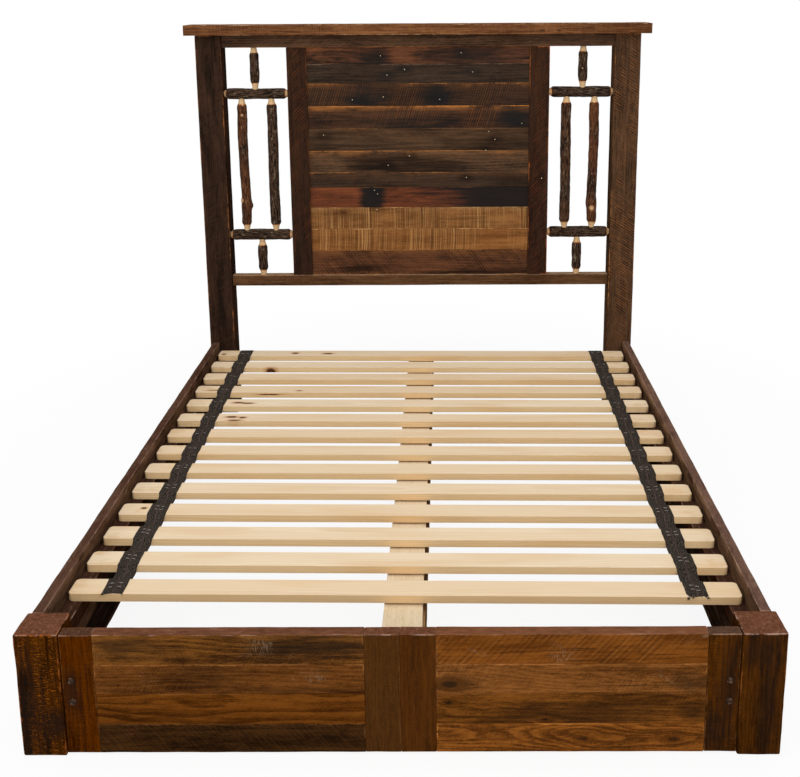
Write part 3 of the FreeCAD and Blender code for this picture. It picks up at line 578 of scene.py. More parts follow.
BOARDS = {
    "headboard_cap": dict(light=(0.249, 0.104, 0.0399), dark=(0.0832, 0.0292, 0.0116), mottle=2.0,
        streak=2.4, fleck=1.4, stain=0.12, stain_tone=(0.05, 0.022, 0.012), saw=0.3,
        saw_tone=(0.291, 0.137, 0.0579), score=0.3, tilt=0.1, unruly=3.0, edge=0.8,
        edge_tone=(0.6, 0.37, 0.2), width=0.002, knots=[(0.453, 1.47), (0.514, 1.47)],
        knot_size=0.0032),
    "headboard_top_rail": dict(light=(0.139, 0.0714, 0.0389), dark=(0.0279, 0.0158, 0.0109),
        mottle=2.2, fleck=1.0, stain=0.35, saw=0.35, saw_tone=(0.186, 0.0893, 0.0425), score=0.5,
        tilt=SLANT, edge=0.7),
    "headboard_bottom_rail": dict(light=(0.152, 0.0727, 0.0322), dark=(0.0455, 0.021, 0.0102),
        mottle=2.0, streak=2.2, fleck=1.0, stain=0.2, saw=0.2, edge=0.6, upper=1.0, top=0.8,
        top_tone=(0.42, 0.27, 0.15)),
    "headboard_stile_left": STILE | dict(dark=(0.0138, 0.00854, 0.00692), stain=0.15, edge=0.25,
        edge_tone=(0.3, 0.095, 0.025)),
    "headboard_stile_right": STILE | dict(dark=(0.0154, 0.00854, 0.00692), stain=0.12, edge=0.9,
        edge_tone=(0.4, 0.12, 0.03), spots=[(0.461, 0.924)]),
    "headboard_post_left": dict(light=(0.0602, 0.0294, 0.017), dark=(0.0138, 0.00828, 0.006),
        mottle=2.8, streak=1.8, fleck=0.8, figure=0.2, saw=0.5, saw_tone=(0.086, 0.0386, 0.02),
        score=0.4, tilt=-0.35, edge=0.9, edge_tone=(0.3, 0.11, 0.035), width=0.003),
    "headboard_post_right": dict(light=(0.134, 0.0667, 0.0323), dark=(0.0259, 0.015, 0.00948),
        mottle=2.2, fleck=1.2, figure=0.15, stain=0.22, saw=0.55, saw_tone=(0.315, 0.11, 0.0343),
        score=0.6, tilt=0.62, spacing=0.0085, unruly=1.8, breaks=26.0, edge=0.9,
        edge_tone=(0.4, 0.16, 0.05), width=0.003),
    "headboard_board_01": dict(light=(0.172, 0.064, 0.03), dark=(0.0133, 0.0132, 0.0105),
        mottle=2.2, fleck=1.0, stain_tone=COLD_STAIN, saw=0.1, edge=0.35,
        edge_tone=(0.46, 0.14, 0.045), upper=1.0, glow=0.35, spots=[(-0.138, 1.38), (0.159, 1.39)],
        blots=[((-0.165, 1.38), (0.075, 0.06)), ((0.22, 1.39), (0.19, 0.07))]),
    "headboard_board_02": dict(light=(0.0645, 0.0406, 0.0268), dark=(0.0162, 0.0113, 0.00868),
        mottle=1.3, streak=1.3, fleck=1.1, stain=0.35, stain_tone=COLD_STAIN, saw=0.1,
        edge_tone=(0.3, 0.19, 0.12), upper=1.0,
        spots=[(-0.05, 1.33), (-0.115, 1.31), (0.201, 1.32)]),
    "headboard_board_03": dict(light=(0.0671, 0.0344, 0.0191), dark=(0.0197, 0.0131, 0.0105),
        mottle=2.2, fleck=1.0, stain=0.28, stain_tone=COLD_STAIN, saw=0.75,
        saw_tone=(0.156, 0.0564, 0.0218), score=0.6, tilt=STEEP, spacing=0.0085, unruly=0.35,
        breaks=2.0, edge=0.9, edge_tone=(0.42, 0.16, 0.045), upper=1.0, glow=0.3, width=0.0026,
        spots=[(-0.13, 1.23), (-0.245, 1.22), (0.079, 1.22)],
        blots=[((0.07, 1.23), (0.06, 0.08)), ((-0.205, 1.22), (0.06, 0.06))], blotted=0.85),
    "headboard_board_04": dict(light=(0.085, 0.0402, 0.0213), dark=(0.0197, 0.0125, 0.0102),
        mottle=2.8, fleck=1.0, stain_tone=COLD_STAIN, saw=0.8, saw_tone=(0.193, 0.0656, 0.0229),
        score=0.7, tilt=STEEP, spacing=0.0085, unruly=0.35, breaks=2.0, edge=1.0,
        edge_tone=(0.5, 0.19, 0.05), upper=1.0, glow=0.65, width=0.0032,
        spots=[(0.385, 1.13), (0.262, 1.1)],
        blots=[((0.355, 1.15), (0.08, 0.07)), ((-0.05, 1.12), (0.18, 0.04))], blotted=0.85),
    "headboard_board_05": dict(light=(0.105, 0.0564, 0.0295), dark=(0.0274, 0.0179, 0.0122),
        streak=1.2, fleck=0.8, stain=0.26, saw=0.2, score=0.3, tilt=0.8, edge=0.4, upper=1.0,
        glow=0.12, spots=[(-0.356, 1.09), (0.285, 1.07), (0.251, 1.03)],
        blots=[((0.26, 1.04), (0.15, 0.06)), ((-0.36, 1.04), (0.06, 0.04))], blotted=0.5),
    "headboard_board_06": dict(light=(0.142, 0.073, 0.0366), dark=(0.0324, 0.0215, 0.0149),
        mottle=2.3, streak=1.2, fleck=0.9, stain=0.33, saw=0.2, edge=0.9,
        edge_tone=(0.46, 0.18, 0.05), upper=1.0, glow=0.4, width=0.0026,
        spots=[(-0.036, 1.01), (-0.116, 0.975)],
        blots=[((-0.01, 0.975), (0.17, 0.05)), ((-0.2, 0.985), (0.09, 0.03))], blotted=0.6),
    "headboard_board_07": dict(light=(0.0707, 0.0405, 0.025), dark=(0.022, 0.0159, 0.012),
        mottle=1.6, streak=1.0, fleck=1.0, saw=0.2, edge=0.8, edge_tone=(0.4, 0.16, 0.05),
        upper=1.0, glow=0.15, spots=[(0.178, 0.928)],
        blots=[((0.33, 0.905), (0.12, 0.06)), ((-0.08, 0.89), (0.12, 0.02))], blotted=0.45),
    "headboard_board_08": dict(light=(0.225, 0.066, 0.027), dark=(0.07, 0.025, 0.014), mottle=3.0,
        streak=0.8, fleck=0.8, figure=0.2, stain_tone=COLD_STAIN, saw=0.1, edge=0.3, upper=1.0,
        spots=[(-0.169, 0.88), (-0.158, 0.866)],
        blots=[((-0.18, 0.862), (0.055, 0.3)), ((0.4, 0.862), (0.4, 0.3))], blotted=0.95, soft=0.3),
    "headboard_board_09": TAN | dict(light=(0.309, 0.136, 0.0438), dark=(0.118, 0.0443, 0.0141),
        mottle=2.8, fleck=1.2, stain=0.1, stain_tone=(0.07, 0.03, 0.013),
        saw_tone=(0.563, 0.312, 0.116), score=1.0, tilt=0.02, edge_tone=(0.66, 0.4, 0.17), glow=0.2,
        width=0.002, spots=[(-0.162, 0.806)], knots=[(-0.288, 0.795)], knot_size=0.007,
        blots=[((-0.285, 0.8), (0.06, 0.022)), ((0.2, 0.77), (0.1, 0.01))], blotted=0.45),
    "headboard_board_10": TAN | dict(light=(0.331, 0.137, 0.041), dark=(0.142, 0.0519, 0.0149),
        mottle=3.2, fleck=1.0, stain=0.06, stain_tone=(0.1, 0.045, 0.02),
        saw_tone=(0.559, 0.293, 0.101), score=0.8, tilt=-0.02, edge_tone=(0.62, 0.34, 0.13),
        glow=0.1),
    "headboard_board_11": dict(light=(0.167, 0.0651, 0.029), dark=(0.0451, 0.0221, 0.0134),
        mottle=2.0, streak=1.2, fleck=1.2, saw=0.3, saw_tone=(0.235, 0.0893, 0.0314), score=0.75,
        tilt=0.65, spacing=0.0095, unruly=0.4, breaks=4.0, edge=0.7, edge_tone=(0.46, 0.18, 0.05),
        glow=0.25, blots=[((0.27, 0.562), (0.22, 0.016)), ((-0.24, 0.575), (0.09, 0.016))]),
    "footboard_post_left": dict(light=(0.0665, 0.0185, 0.0017), dark=(0.0134, 0.00464, 0.000566),
        mottle=3.0, streak=1.8, fleck=1.2, figure=0.2, stain=0.2, saw=0.7,
        saw_tone=(0.474, 0.132, 0.00566), score=0.45, tilt=0.12, spacing=0.0042, unruly=5.0,
        breaks=90.0, edge=0.55, edge_tone=(0.42, 0.11, 0.02), width=0.0034, top=1.0,
        top_tone=RED_TOP, knots=[(-0.797, 0.18)], knot_size=0.006,
        blots=[((-0.797, 0.13), (0.034, 0.17)), ((-0.745, 0.08), (0.03, 0.04))], blotted=0.7),
    "footboard_post_right": dict(light=(0.0862, 0.0268, 0.00329), dark=(0.0145, 0.00502, 0.000823),
        mottle=2.0, streak=1.2, fleck=1.3, figure=0.25, stain=0.15, saw=0.05,
        saw_tone=(0.163, 0.0419, 0.00412), score=0.05, edge=0.6, edge_tone=(0.34, 0.1, 0.02),
        top=1.0, top_tone=RED_TOP,
        blots=[((0.785, 0.13), (0.026, 0.18)), ((0.76, 0.25), (0.05, 0.05))], blotted=0.5),
    "footboard_bolt_plank_left": PLANK | dict(light=(0.115, 0.0267, 0.000379),
        dark=(0.029, 0.00667, 0.000253), mottle=2.0, stain=0.14, top_tone=(0.093, 0.043, 0.024),
        blots=[((-0.702, 0.154), (0.02, 0.05))], blotted=0.6),
    "footboard_bolt_plank_right": PLANK | dict(light=(0.1, 0.0289, 0.0021),
        dark=(0.0191, 0.00681, 0.000703), mottle=2.6, stain=0.15, top_tone=GREY_TOP,
        blots=[((0.697, 0.16), (0.03, 0.16)), ((0.66, 0.05), (0.03, 0.06))], blotted=0.55),
    "footboard_mullion_left": MULLION | dict(light=(0.0935, 0.0345, 0.00752),
        dark=(0.0396, 0.0145, 0.00342)),
    "footboard_mullion_right": MULLION | dict(light=(0.0982, 0.0308, 0.00486),
        dark=(0.0385, 0.0125, 0.00277)),
    "footboard_board_left_1": dict(light=(0.24, 0.0899, 0.0166), dark=(0.0435, 0.0153, 0.0038),
        mottle=2.2, streak=0.7, fleck=1.4, figure=0.35, rings=70.0, wander=0.03, stain=0.28,
        stain_tone=(0.016, 0.01, 0.006), saw=0.12, edge=0.3, scuff=0.4, dust=(-0.3, 0.265), top=1.0,
        top_tone=RED_TOP,
        blots=[((-0.175, 0.263), (0.15, 0.028)), ((-0.59, 0.262), (0.09, 0.026))]),
    "footboard_board_left_2": dict(light=(0.173, 0.0591, 0.0119), dark=(0.0427, 0.0131, 0.0025),
        streak=0.9, fleck=1.6, stain=0.22, stain_tone=(0.026, 0.012, 0.005), saw=0.25,
        saw_tone=(0.234, 0.0985, 0.0311), score=0.15, tilt=-0.45, spacing=0.006, unruly=3.0,
        breaks=30.0, edge=0.6, edge_tone=(0.4, 0.16, 0.04), upper=1.0, scuff=0.6,
        dust=(-0.184, 0.186), blots=[((-0.41, 0.19), (0.09, 0.03)), ((-0.23, 0.155), (0.1, 0.01))],
        blotted=0.4),
    "footboard_board_left_3": dict(light=(0.171, 0.0532, 0.00707), dark=(0.0461, 0.013, 0.00193),
        mottle=1.8, streak=0.9, fleck=1.2, figure=0.6, rings=80.0, wander=0.035, stain=0.12,
        stain_tone=(0.03, 0.012, 0.004), saw=0.05, score=0.1, edge=0.4, upper=1.0),
    "footboard_board_left_4": dict(light=(0.0656, 0.0259, 0.00685), dark=(0.0148, 0.00566, 0.00205),
        mottle=2.6, streak=1.0, fleck=1.6, saw=0.18, saw_tone=(0.101, 0.0437, 0.0108), score=0.32,
        tilt=0.7, spacing=0.01, unruly=2.4, breaks=16.0, edge=0.3, upper=1.0),
    "footboard_board_right_1": dict(light=(0.237, 0.0745, 0.0112), dark=(0.0993, 0.0298, 0.00462),
        mottle=3.4, streak=0.9, fleck=1.2, figure=0.2, stain=0.14, stain_tone=(0.04, 0.016, 0.006),
        saw=0.42, saw_tone=(0.275, 0.104, 0.0231), score=0.52, tilt=-0.7, spacing=0.011, breaks=8.0,
        edge=0.3, scuff=0.35, dust=(0.345, 0.237), top=1.0, top_tone=(0.195, 0.076, 0.035)),
    "footboard_board_right_2": dict(light=(0.262, 0.0945, 0.0207), dark=(0.0861, 0.0288, 0.00612),
        mottle=1.8, streak=0.9, fleck=1.7, wander=0.03, stain=0.12,
        stain_tone=(0.028, 0.014, 0.006), saw=0.3, saw_tone=(0.344, 0.144, 0.0421), spacing=0.009,
        unruly=3.5, breaks=24.0, edge=0.8, edge_tone=(0.55, 0.22, 0.06), upper=1.0, scuff=0.35,
        knots=[(0.106, 0.168)], knot_size=0.01,
        blots=[((0.615, 0.172), (0.045, 0.022)), ((0.125, 0.168), (0.05, 0.02))], blotted=0.6),
    "footboard_board_right_3": dict(light=(0.226, 0.0761, 0.0119), dark=(0.0509, 0.0173, 0.00339),
        mottle=1.8, streak=0.8, fleck=1.5, wander=0.03, stain=0.22, stain_tone=(0.02, 0.009, 0.004),
        saw=0.2, edge=0.3, upper=1.0, knots=[(0.309, 0.084), (0.103, 0.125)], knot_size=0.005,
        blots=[((0.395, 0.095), (0.19, 0.036)), ((0.62, 0.1), (0.03, 0.02))], blotted=0.55),
    "footboard_board_right_4": dict(light=(0.312, 0.102, 0.0155), dark=(0.0805, 0.0254, 0.00485),
        streak=1.1, fleck=1.7, figure=0.5, wander=0.04, stain=0.16, stain_tone=(0.04, 0.016, 0.005),
        score=0.1, tilt=-0.2, spacing=0.012, edge=0.9, edge_tone=(0.5, 0.18, 0.035), upper=1.0,
        width=0.0022, knots=[(0.391, 0.037), (0.586, 0.036)]),
    # the side rails' blot is painted shade: it darkens each rail's inner face low down, under the
    # slats
    "side_rail_left": RAIL | dict(edge=0.35, edge_tone=(0.24, 0.135, 0.085),
        top_tone=(0.075, 0.032, 0.02), blots=[((-0.781, 0.0, 0.06), (0.01, 2.4, 0.1))]),
    "side_rail_right": RAIL | dict(edge=0.7, edge_tone=(0.32, 0.19, 0.11),
        top_tone=(0.145, 0.078, 0.057), blots=[((0.781, 0.0, 0.06), (0.01, 2.4, 0.1))]),
    "slat_ledger_left": LEDGER,
    "slat_ledger_right": LEDGER,
    "footboard_cleat_left": CLEAT,
    "footboard_cleat_right": CLEAT,
    "centre_beam_rib": dict(light=(0.36, 0.21, 0.095), dark=(0.12, 0.06, 0.026), mottle=3.0,
        stain=0.4, stain_tone=(0.045, 0.024, 0.013), saw=0.4, saw_tone=(0.5, 0.33, 0.17), tilt=0.5),
    "centre_beam_board": dict(light=(0.8, 0.655, 0.46), dark=(0.66, 0.5, 0.31), mottle=1.2,
        streak=0.7, figure=0.15, cracks=0.15, stain=0.0, stain_tone=(0.4, 0.23, 0.11), saw=0.1,
        saw_tone=(0.88, 0.72, 0.5), edge=0.2, edge_tone=(0.88, 0.74, 0.52)),
}
print("boards with their own tones:", len(BOARDS))

# %% [markdown]
# ## Finishing one board
# A board's grain runs along its longest side. The finish is made in coordinates that start at
# the middle of the board and run along, across and into it, so one recipe fits an upright post
# and a lying rail.

# %% Make a board's material
BOARD_RELIEF = 0.0014
BLOT_DEPTH = 0.05  # how far a blot that is given by x and z reaches into the board


def board_place(tree, middle, axes):
    """Object coordinates turned to along, across and into the board, from its middle."""
    parts = split(add(tree, "ShaderNodeTexCoord")["Object"])
    return joined(*(parts[axis] for axis in axes)) - [middle[axis] for axis in axes]


def with_depth(mark, depth):
    """A mark given by x and z alone gets the depth."""
    return mark if len(mark) == 3 else (mark[0], depth, mark[1])


def board_material(label, low, high, seed, light, dark, spots=(), knots=(), blots=(), dust=None,
                   **more):
    """An oiled barn board's finish."""
    material, tree = bare_material(label)
    size, middle = high - low, (low + high) / 2
    axes = sorted(range(3), key=lambda axis: -size[axis])
    values = {"Place": board_place(tree, middle, axes), "Seed": seed, "Light": light,
              "Dark": dark, "Half": [size[axis] / 2 for axis in axes]}
    values |= {key.replace("_", " ").title(): given for key, given in more.items()}
    marks = {f"{kind} {n}": mark for kind, places in (
        ("Spot", spots), ("Knot", knots), ("Blot", [centre for centre, _ in blots]))
        for n, mark in enumerate(places, 1)}
    if dust:
        marks["Dust"] = dust
    for name, mark in marks.items():
        at = with_depth(mark, low.y)
        values[name] = [at[axis] - middle[axis] for axis in axes]
    for n, (_, reach) in enumerate(blots, 1):
        values[f"Reach {n}"] = [with_depth(reach, BLOT_DEPTH)[axis] for axis in axes]
    finish = grouped(tree, board_group, values)
    finished(finish["Color"], finish["Roughness"], finish["Height"], BOARD_RELIEF, 0.0)
    return material


print("board recipe ready")

# %% [markdown]
# ## Worn boards from Geometry Nodes
# A real barn board has rounded, nicked edges and a face that is never quite flat. The tree
# makes a finely cut box, crowds its outer cuts against the edges, rounds the edges by a radius
# that wanders, and sinks the faces that are exposed by a little noise. Faces that touch a
# neighbour stay flat, so the seams stay tight.

# %% Geometry Nodes: worn board
RIM_CUTS, RIM = 6.0, 0.006  # this many half cuts are crowded into this rim
worn_tree, given, out = new_group("worn board", "GeometryNodeTree", {
    "Size": VECTOR, "Cuts X": 9, "Cuts Y": 9, "Cuts Z": 9, "Wear": 0.002, "Dents": 0.001,
    "Exposed": (1.0, 1.0, 1.0), "Seed": 0.0, "Material": "Material"}, {"Geometry": GEOMETRY})
block = add(worn_tree, "GeometryNodeMeshCube", {
    "Size": given["Size"], "Vertices X": given["Cuts X"], "Vertices Y": given["Cuts Y"],
    "Vertices Z": given["Cuts Z"]})[0]
start = add(worn_tree, "GeometryNodeInputPosition")[0]
half = given["Size"] * 0.5
cells = joined(given["Cuts X"], given["Cuts Y"], given["Cuts Z"]) - 1.0
inward = 1.0 - sums("ABSOLUTE", start) / half
knee, rim = RIM_CUTS / cells, RIM / half
near = sums("MINIMUM", inward / knee, 1.0) * rim
far = sums("MAXIMUM", (inward - knee) / (1.0 - knee), 0.0) * (1.0 - rim)
crowded = sums("SIGN", start) * half * (1.0 - (near + far))
at = crowded + given["Seed"] * (1.3, 2.1, 3.7)
radius = given["Wear"] * ramped(cloudy(at, (11, 11, 11)), 0.25, 0.75, 0.4, 1.6)
core = half - joined(radius, radius, radius)
inner = sums("MINIMUM", sums("MAXIMUM", crowded, core * -1.0), core)
outward = sums("NORMALIZE", crowded - inner)
low_waves = ramped(cloudy(at, (3.0, 3.0, 3.0), 1.0), 0.25, 0.75)
small_waves = ramped(cloudy(at, (26, 26, 26), 3.0), 0.3, 0.7)
open_air = sums("DOT_PRODUCT", outward * outward, given["Exposed"], result="Value")
sunk = (low_waves * 0.65 + small_waves * 0.35) * (open_air * given["Dents"])
worn = inner + outward * radius - outward * sunk
block = add(worn_tree, "GeometryNodeSetPosition", {"Geometry": block, "Position": worn})[0]
block = add(worn_tree, "GeometryNodeSetMaterial",
            {"Geometry": block, "Material": given["Material"]})[0]
hand_out(out, Geometry=block)
print("tree:", worn_tree.name)


# %% Run a tree and keep its result
def grown(tree, label, carrier=None, **values):
    """Run a Geometry Nodes tree on a mesh and keep the result as a plain mesh object."""
    maker = placed(label, carrier or bpy.data.meshes.new(label))
    modifier = maker.modifiers.new("maker", "NODES")
    modifier.node_group = tree
    for socket in tree.interface.items_tree:
        if socket.in_out == "INPUT" and socket.name in values:
            modifier[socket.identifier] = values[socket.name]
    looked = maker.evaluated_get(bpy.context.evaluated_depsgraph_get())
    result = bpy.data.meshes.new_from_object(looked)
    result.name = label
    maker.modifiers.remove(modifier)
    maker.data = result
    return maker


print("tree runner ready")

# %% [markdown]
# ## Cutting the boards
# Each board takes its box from the CAD node it stands for. The rings of cuts are about 13 mm
# apart along it. Which of its faces are exposed depends on its family: a panel board shows only
# its front and back, a post shows all sides. The pale board of the centre support lies a little
# low, for the thin dark line under each slat.

# %% Replace the boards
EXPOSED = {
    "headboard_board": (0, 1, 0), "footboard_board": (0, 1, 0), "footboard_mullion": (0, 1, 0),
    "headboard_stile": (0.5, 1, 0), "headboard_top_rail": (0, 1, 0.3),
    "headboard_bottom_rail": (0, 1, 1), "headboard_cap": (1, 1, 1), "side_rail": (1, 0, 1),
    "slat_ledger": (0.5, 0, 0), "centre_beam_board": (1, 0, 0), "centre_beam_rib": (1, 0, 1),
    "footboard_post": (1, 1, 1), "headboard_post": (1, 1, 0.3)}
WEAR = {"headboard_board": 0.0012, "footboard_board": 0.0014, "footboard_post": 0.0044,
        "headboard_post": 0.003, "side_rail": 0.0026, "headboard_cap": 0.0028}
DENTS = {"side_rail": 0.0011, "footboard_post": 0.0016, "headboard_cap": 0.0012,
         "centre_beam_rib": 0.003}
LOWERED = {"centre_beam_board": 0.005}
CUT_EVERY, FEWEST, MOST = 0.013, 11, 150


def of_family(table, node, usual):
    """What a table says about the family of a node."""
    return next((given for family, given in table.items() if node.startswith(family)), usual)


def worn_board(node, seed, tones):
    """A board with worn edges that stands for one CAD node."""
    low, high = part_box(node)
    high.z -= of_family(LOWERED, node, 0.0)
    size = high - low
    material = board_material(node, low, high, seed, **tones)
    cuts = {f"Cuts {axis}": max(FEWEST, min(MOST, round(span / CUT_EVERY)))
            for axis, span in zip("XYZ", size)}
    board = grown(worn_tree, "worn_" + node, Size=size, Seed=seed, Material=material,
                  Wear=of_family(WEAR, node, 0.002), Dents=of_family(DENTS, node, 0.0009),
                  Exposed=of_family(EXPOSED, node, (1, 1, 0.5)), **cuts)
    board.data.transform(Matrix.Translation((low + high) / 2))
    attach(board, "frame")
    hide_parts(node)
    return board


boards = {node: worn_board(node, 1.0 + 0.77 * n, tones)
          for n, (node, tones) in enumerate(BOARDS.items())}
print("boards:", len(boards), "faces:", sum(len(b.data.polygons) for b in boards.values()))

# %% [markdown]
# ## Hickory sticks
# A lattice stick is a young hickory branch with its bark on. Its ends are peeled and drawn down
# to round tenons that sit in mortises. Each stick is swept as rings along its axis: the rings'
# radius follows the tenon, the shoulder and the bark, and noise adds furrows, swellings and
# knots. Four attributes travel with the mesh: where a point lies on the straightened stick, how
# much bark covers it, how deep it lies in a knot, and how red the bark is.

# %% The hickory finish
bark_paint, tree = bare_material("hickory_stick")
place = add(tree, "ShaderNodeAttribute", attribute_name="stick_place")["Vector"]
bark, knot, tint = (add(tree, "ShaderNodeAttribute", attribute_name=name)["Fac"]
                    for name in ("bark", "knot", "tint"))
furrow = cloudy(place, (260, 260, 38), 4.0, 0.65)
flake = cloudy(place, (120, 120, 60), 3.0, 0.7)
broad = cloudy(place, (18, 18, 9))
lichen = ramped(cloudy(place, (46, 46, 22), 4.0, 0.7), 0.60, 0.68, 0.0, 0.75)
dark = blended(ramped(furrow, 0.40, 0.62), (0.008, 0.005, 0.004), (0.080, 0.050, 0.032))
dark = blended(ramped(flake, 0.59, 0.70, 0.0, 0.75), dark, (0.27, 0.21, 0.14))
dark = blended(lichen, dark, (0.26, 0.21, 0.14))
red = blended(ramped(furrow, 0.36, 0.66), (0.045, 0.018, 0.010), (0.17, 0.064, 0.026))
red = blended(ramped(flake, 0.60, 0.68, 0.0, 0.8), red, (0.40, 0.16, 0.05))
rough_bark = blended(tint * ramped(broad, 0.25, 0.55), dark, red)
peeled = blended(cloudy(place, (300, 300, 30), 3.0), (0.84, 0.62, 0.36), (0.50, 0.27, 0.11))
inner = blended(ramped(bark + (flake - 0.5) * 0.5, 0.12, 0.45), peeled, (0.46, 0.15, 0.04))
colour = blended(ramped(bark, 0.45, 0.75), inner, rough_bark)
ring = ramped(sums("SINE", knot * 9.0), -0.6, 0.8)
heart = blended(ring, (0.42, 0.20, 0.09), (0.80, 0.55, 0.30))
colour = blended(ramped(knot, 0.15, 0.4), colour, heart)
height = (furrow + flake * 0.6) * ramped(bark, 0.3, 0.8, 0.15, 1.0)
finished(colour, ramped(bark, 0.2, 0.8, 0.45, 0.75), height, 0.0022)
print("finish: hickory")

# %% The shapes of the sticks
STICK = 0.038
SOCKET, CUT_BARK, TAPER = 0.020, 0.80, 0.008
NECK = 0.0215  # the peeled end is drawn down to this where it enters its mortise
BEND, LONG_BEND = 0.0016, 0.0050
AROUND, ROW_EVERY = 56, 0.0026  # points round a ring, and the space between two rings
FURROW, LUMP, KNOT_RISE = 0.0011, 0.0003, 0.0032
POST_FACE, STILE_SIDE, FRAME_Y = 0.721, 0.236, 1.02575
OPENING, OPENING_RISE, FLAT = 0.553, 0.859, 0.005
SHAPES = {  # thickness, then swellings: share of the way along, thickness, and bend to two sides
    "upper_cross": (1.06, [(0.25, 1.03, 0.2, 0.1), (0.55, 0.97, 0.5, 0.2), (0.8, 1.0, 0.2, 0.0)]),
    "lower_cross": (1.1, [(0.2, 1.0, -0.2, 0.1), (0.5, 1.03, -0.4, 0.2),
                          (0.8, 0.98, -0.1, 0.1)]),
    "outer_long": (0.98, [(0.08, 1.02, 0.2, 0.1), (0.15, 1.13, 0.5, 0.2), (0.22, 0.99, 0.4, 0.3),
                          (0.5, 0.97, -0.3, 0.5), (0.78, 1.02, -0.5, 0.2),
                          (0.92, 1.0, 0.0, 0.1)]),
    "inner_long": (1.03, [(0.1, 1.03, -0.3, 0.0), (0.3, 0.98, -0.8, -0.2),
                          (0.48, 1.0, -0.4, -0.4), (0.62, 1.04, 0.3, -0.2),
                          (0.85, 0.97, 0.5, 0.1)]),
    "top_short": (0.91, [(0.3, 1.04, 0.3, 0.1), (0.7, 0.97, 0.2, 0.2)]),
    "bottom_short": (0.95, [(0.35, 0.98, -0.3, 0.1), (0.7, 1.05, -0.1, 0.0)]),
}
WHERE = {  # share of the opening's height or width at which a stick sits
    "left": {"lower_cross": 0.182, "upper_cross": 0.804, "outer_long": 0.264,
             "inner_long": 0.733, "bottom_short": 0.5, "top_short": 0.488},
    "right": {"lower_cross": 0.189, "upper_cross": 0.806, "outer_long": 0.283,
              "inner_long": 0.722, "bottom_short": 0.512, "top_short": 0.475},
}
KNOTS = {  # share of the way along, degrees round the stick (-90 is the front), size, paleness
    "left_outer_long": [(0.245, -148, 0.013, 1.0), (0.205, -15, 0.016, 0.0),
                        (0.86, -85, 0.009, 0.55), (0.93, -70, 0.008, 0.4)],
    "right_outer_long": [(0.17, -92, 0.014, 1.0), (0.06, -20, 0.012, 0.0)],
    "right_top_short": [(0.45, -100, 0.008, 0.35)], "left_inner_long": [(0.86, -70, 0.007, 0.3)]}
TINTS = {"left_outer_long": 0.8, "right_outer_long": 0.9, "left_top_short": 0.15,
         "right_inner_long": 0.35}
print("kinds of stick:", len(SHAPES))


# %% Sweep a stick
def eased_between(stops, s):
    """Values at s between rows of stops, eased so that the swellings are round."""
    for before, after in zip(stops, stops[1:]):
        if s <= after[0]:
            share = (s - before[0]) / max(after[0] - before[0], 1e-9)
            share = share * share * (3 - 2 * share)
            return [a + share * (b - a) for a, b in zip(before[1:], after[1:])]
    return stops[-1][1:]


def profile(kind, reach, in_foot, in_head, show):
    """Rows of (place along, radius, two bends, bark) from the foot's tenon to the head's."""
    thick, swells = SHAPES[kind]
    bark, neck = thick * STICK / 2, NECK / 2
    bend = LONG_BEND if kind == "outer_long" else BEND
    first, last = in_foot + show, reach - in_head - show
    shoulder = (neck + bark * CUT_BARK) / 2
    body = [(first + TAPER + run * (last - first - 2 * TAPER), bark * fat, side * bend,
             deep * bend, 1) for run, fat, side, deep in swells]
    return [(0, neck, 0, 0, 0), (in_foot + 0.003, neck, 0, 0, 0),
            (first - 0.006, shoulder, 0, 0, 0.02), (first - 0.001, bark * CUT_BARK, 0, 0, 0.34),
            (first + 0.003, bark * 0.93, 0, 0, 1), (first + TAPER, bark, 0, 0, 1), *body,
            (last - TAPER, bark, 0, 0, 1), (last - 0.003, bark * 0.93, 0, 0, 1),
            (last + 0.001, bark * CUT_BARK, 0, 0, 0.34), (last + 0.006, shoulder, 0, 0, 0.02),
            (reach - in_head - 0.003, neck, 0, 0, 0), (reach, neck, 0, 0, 0)]


def noise_at(at, s, fine, along, shift):
    """Noise at a point of a stick, finer round it or along it."""
    return noise.noise(Vector((at.x * fine, at.y * fine, s * along + shift)))


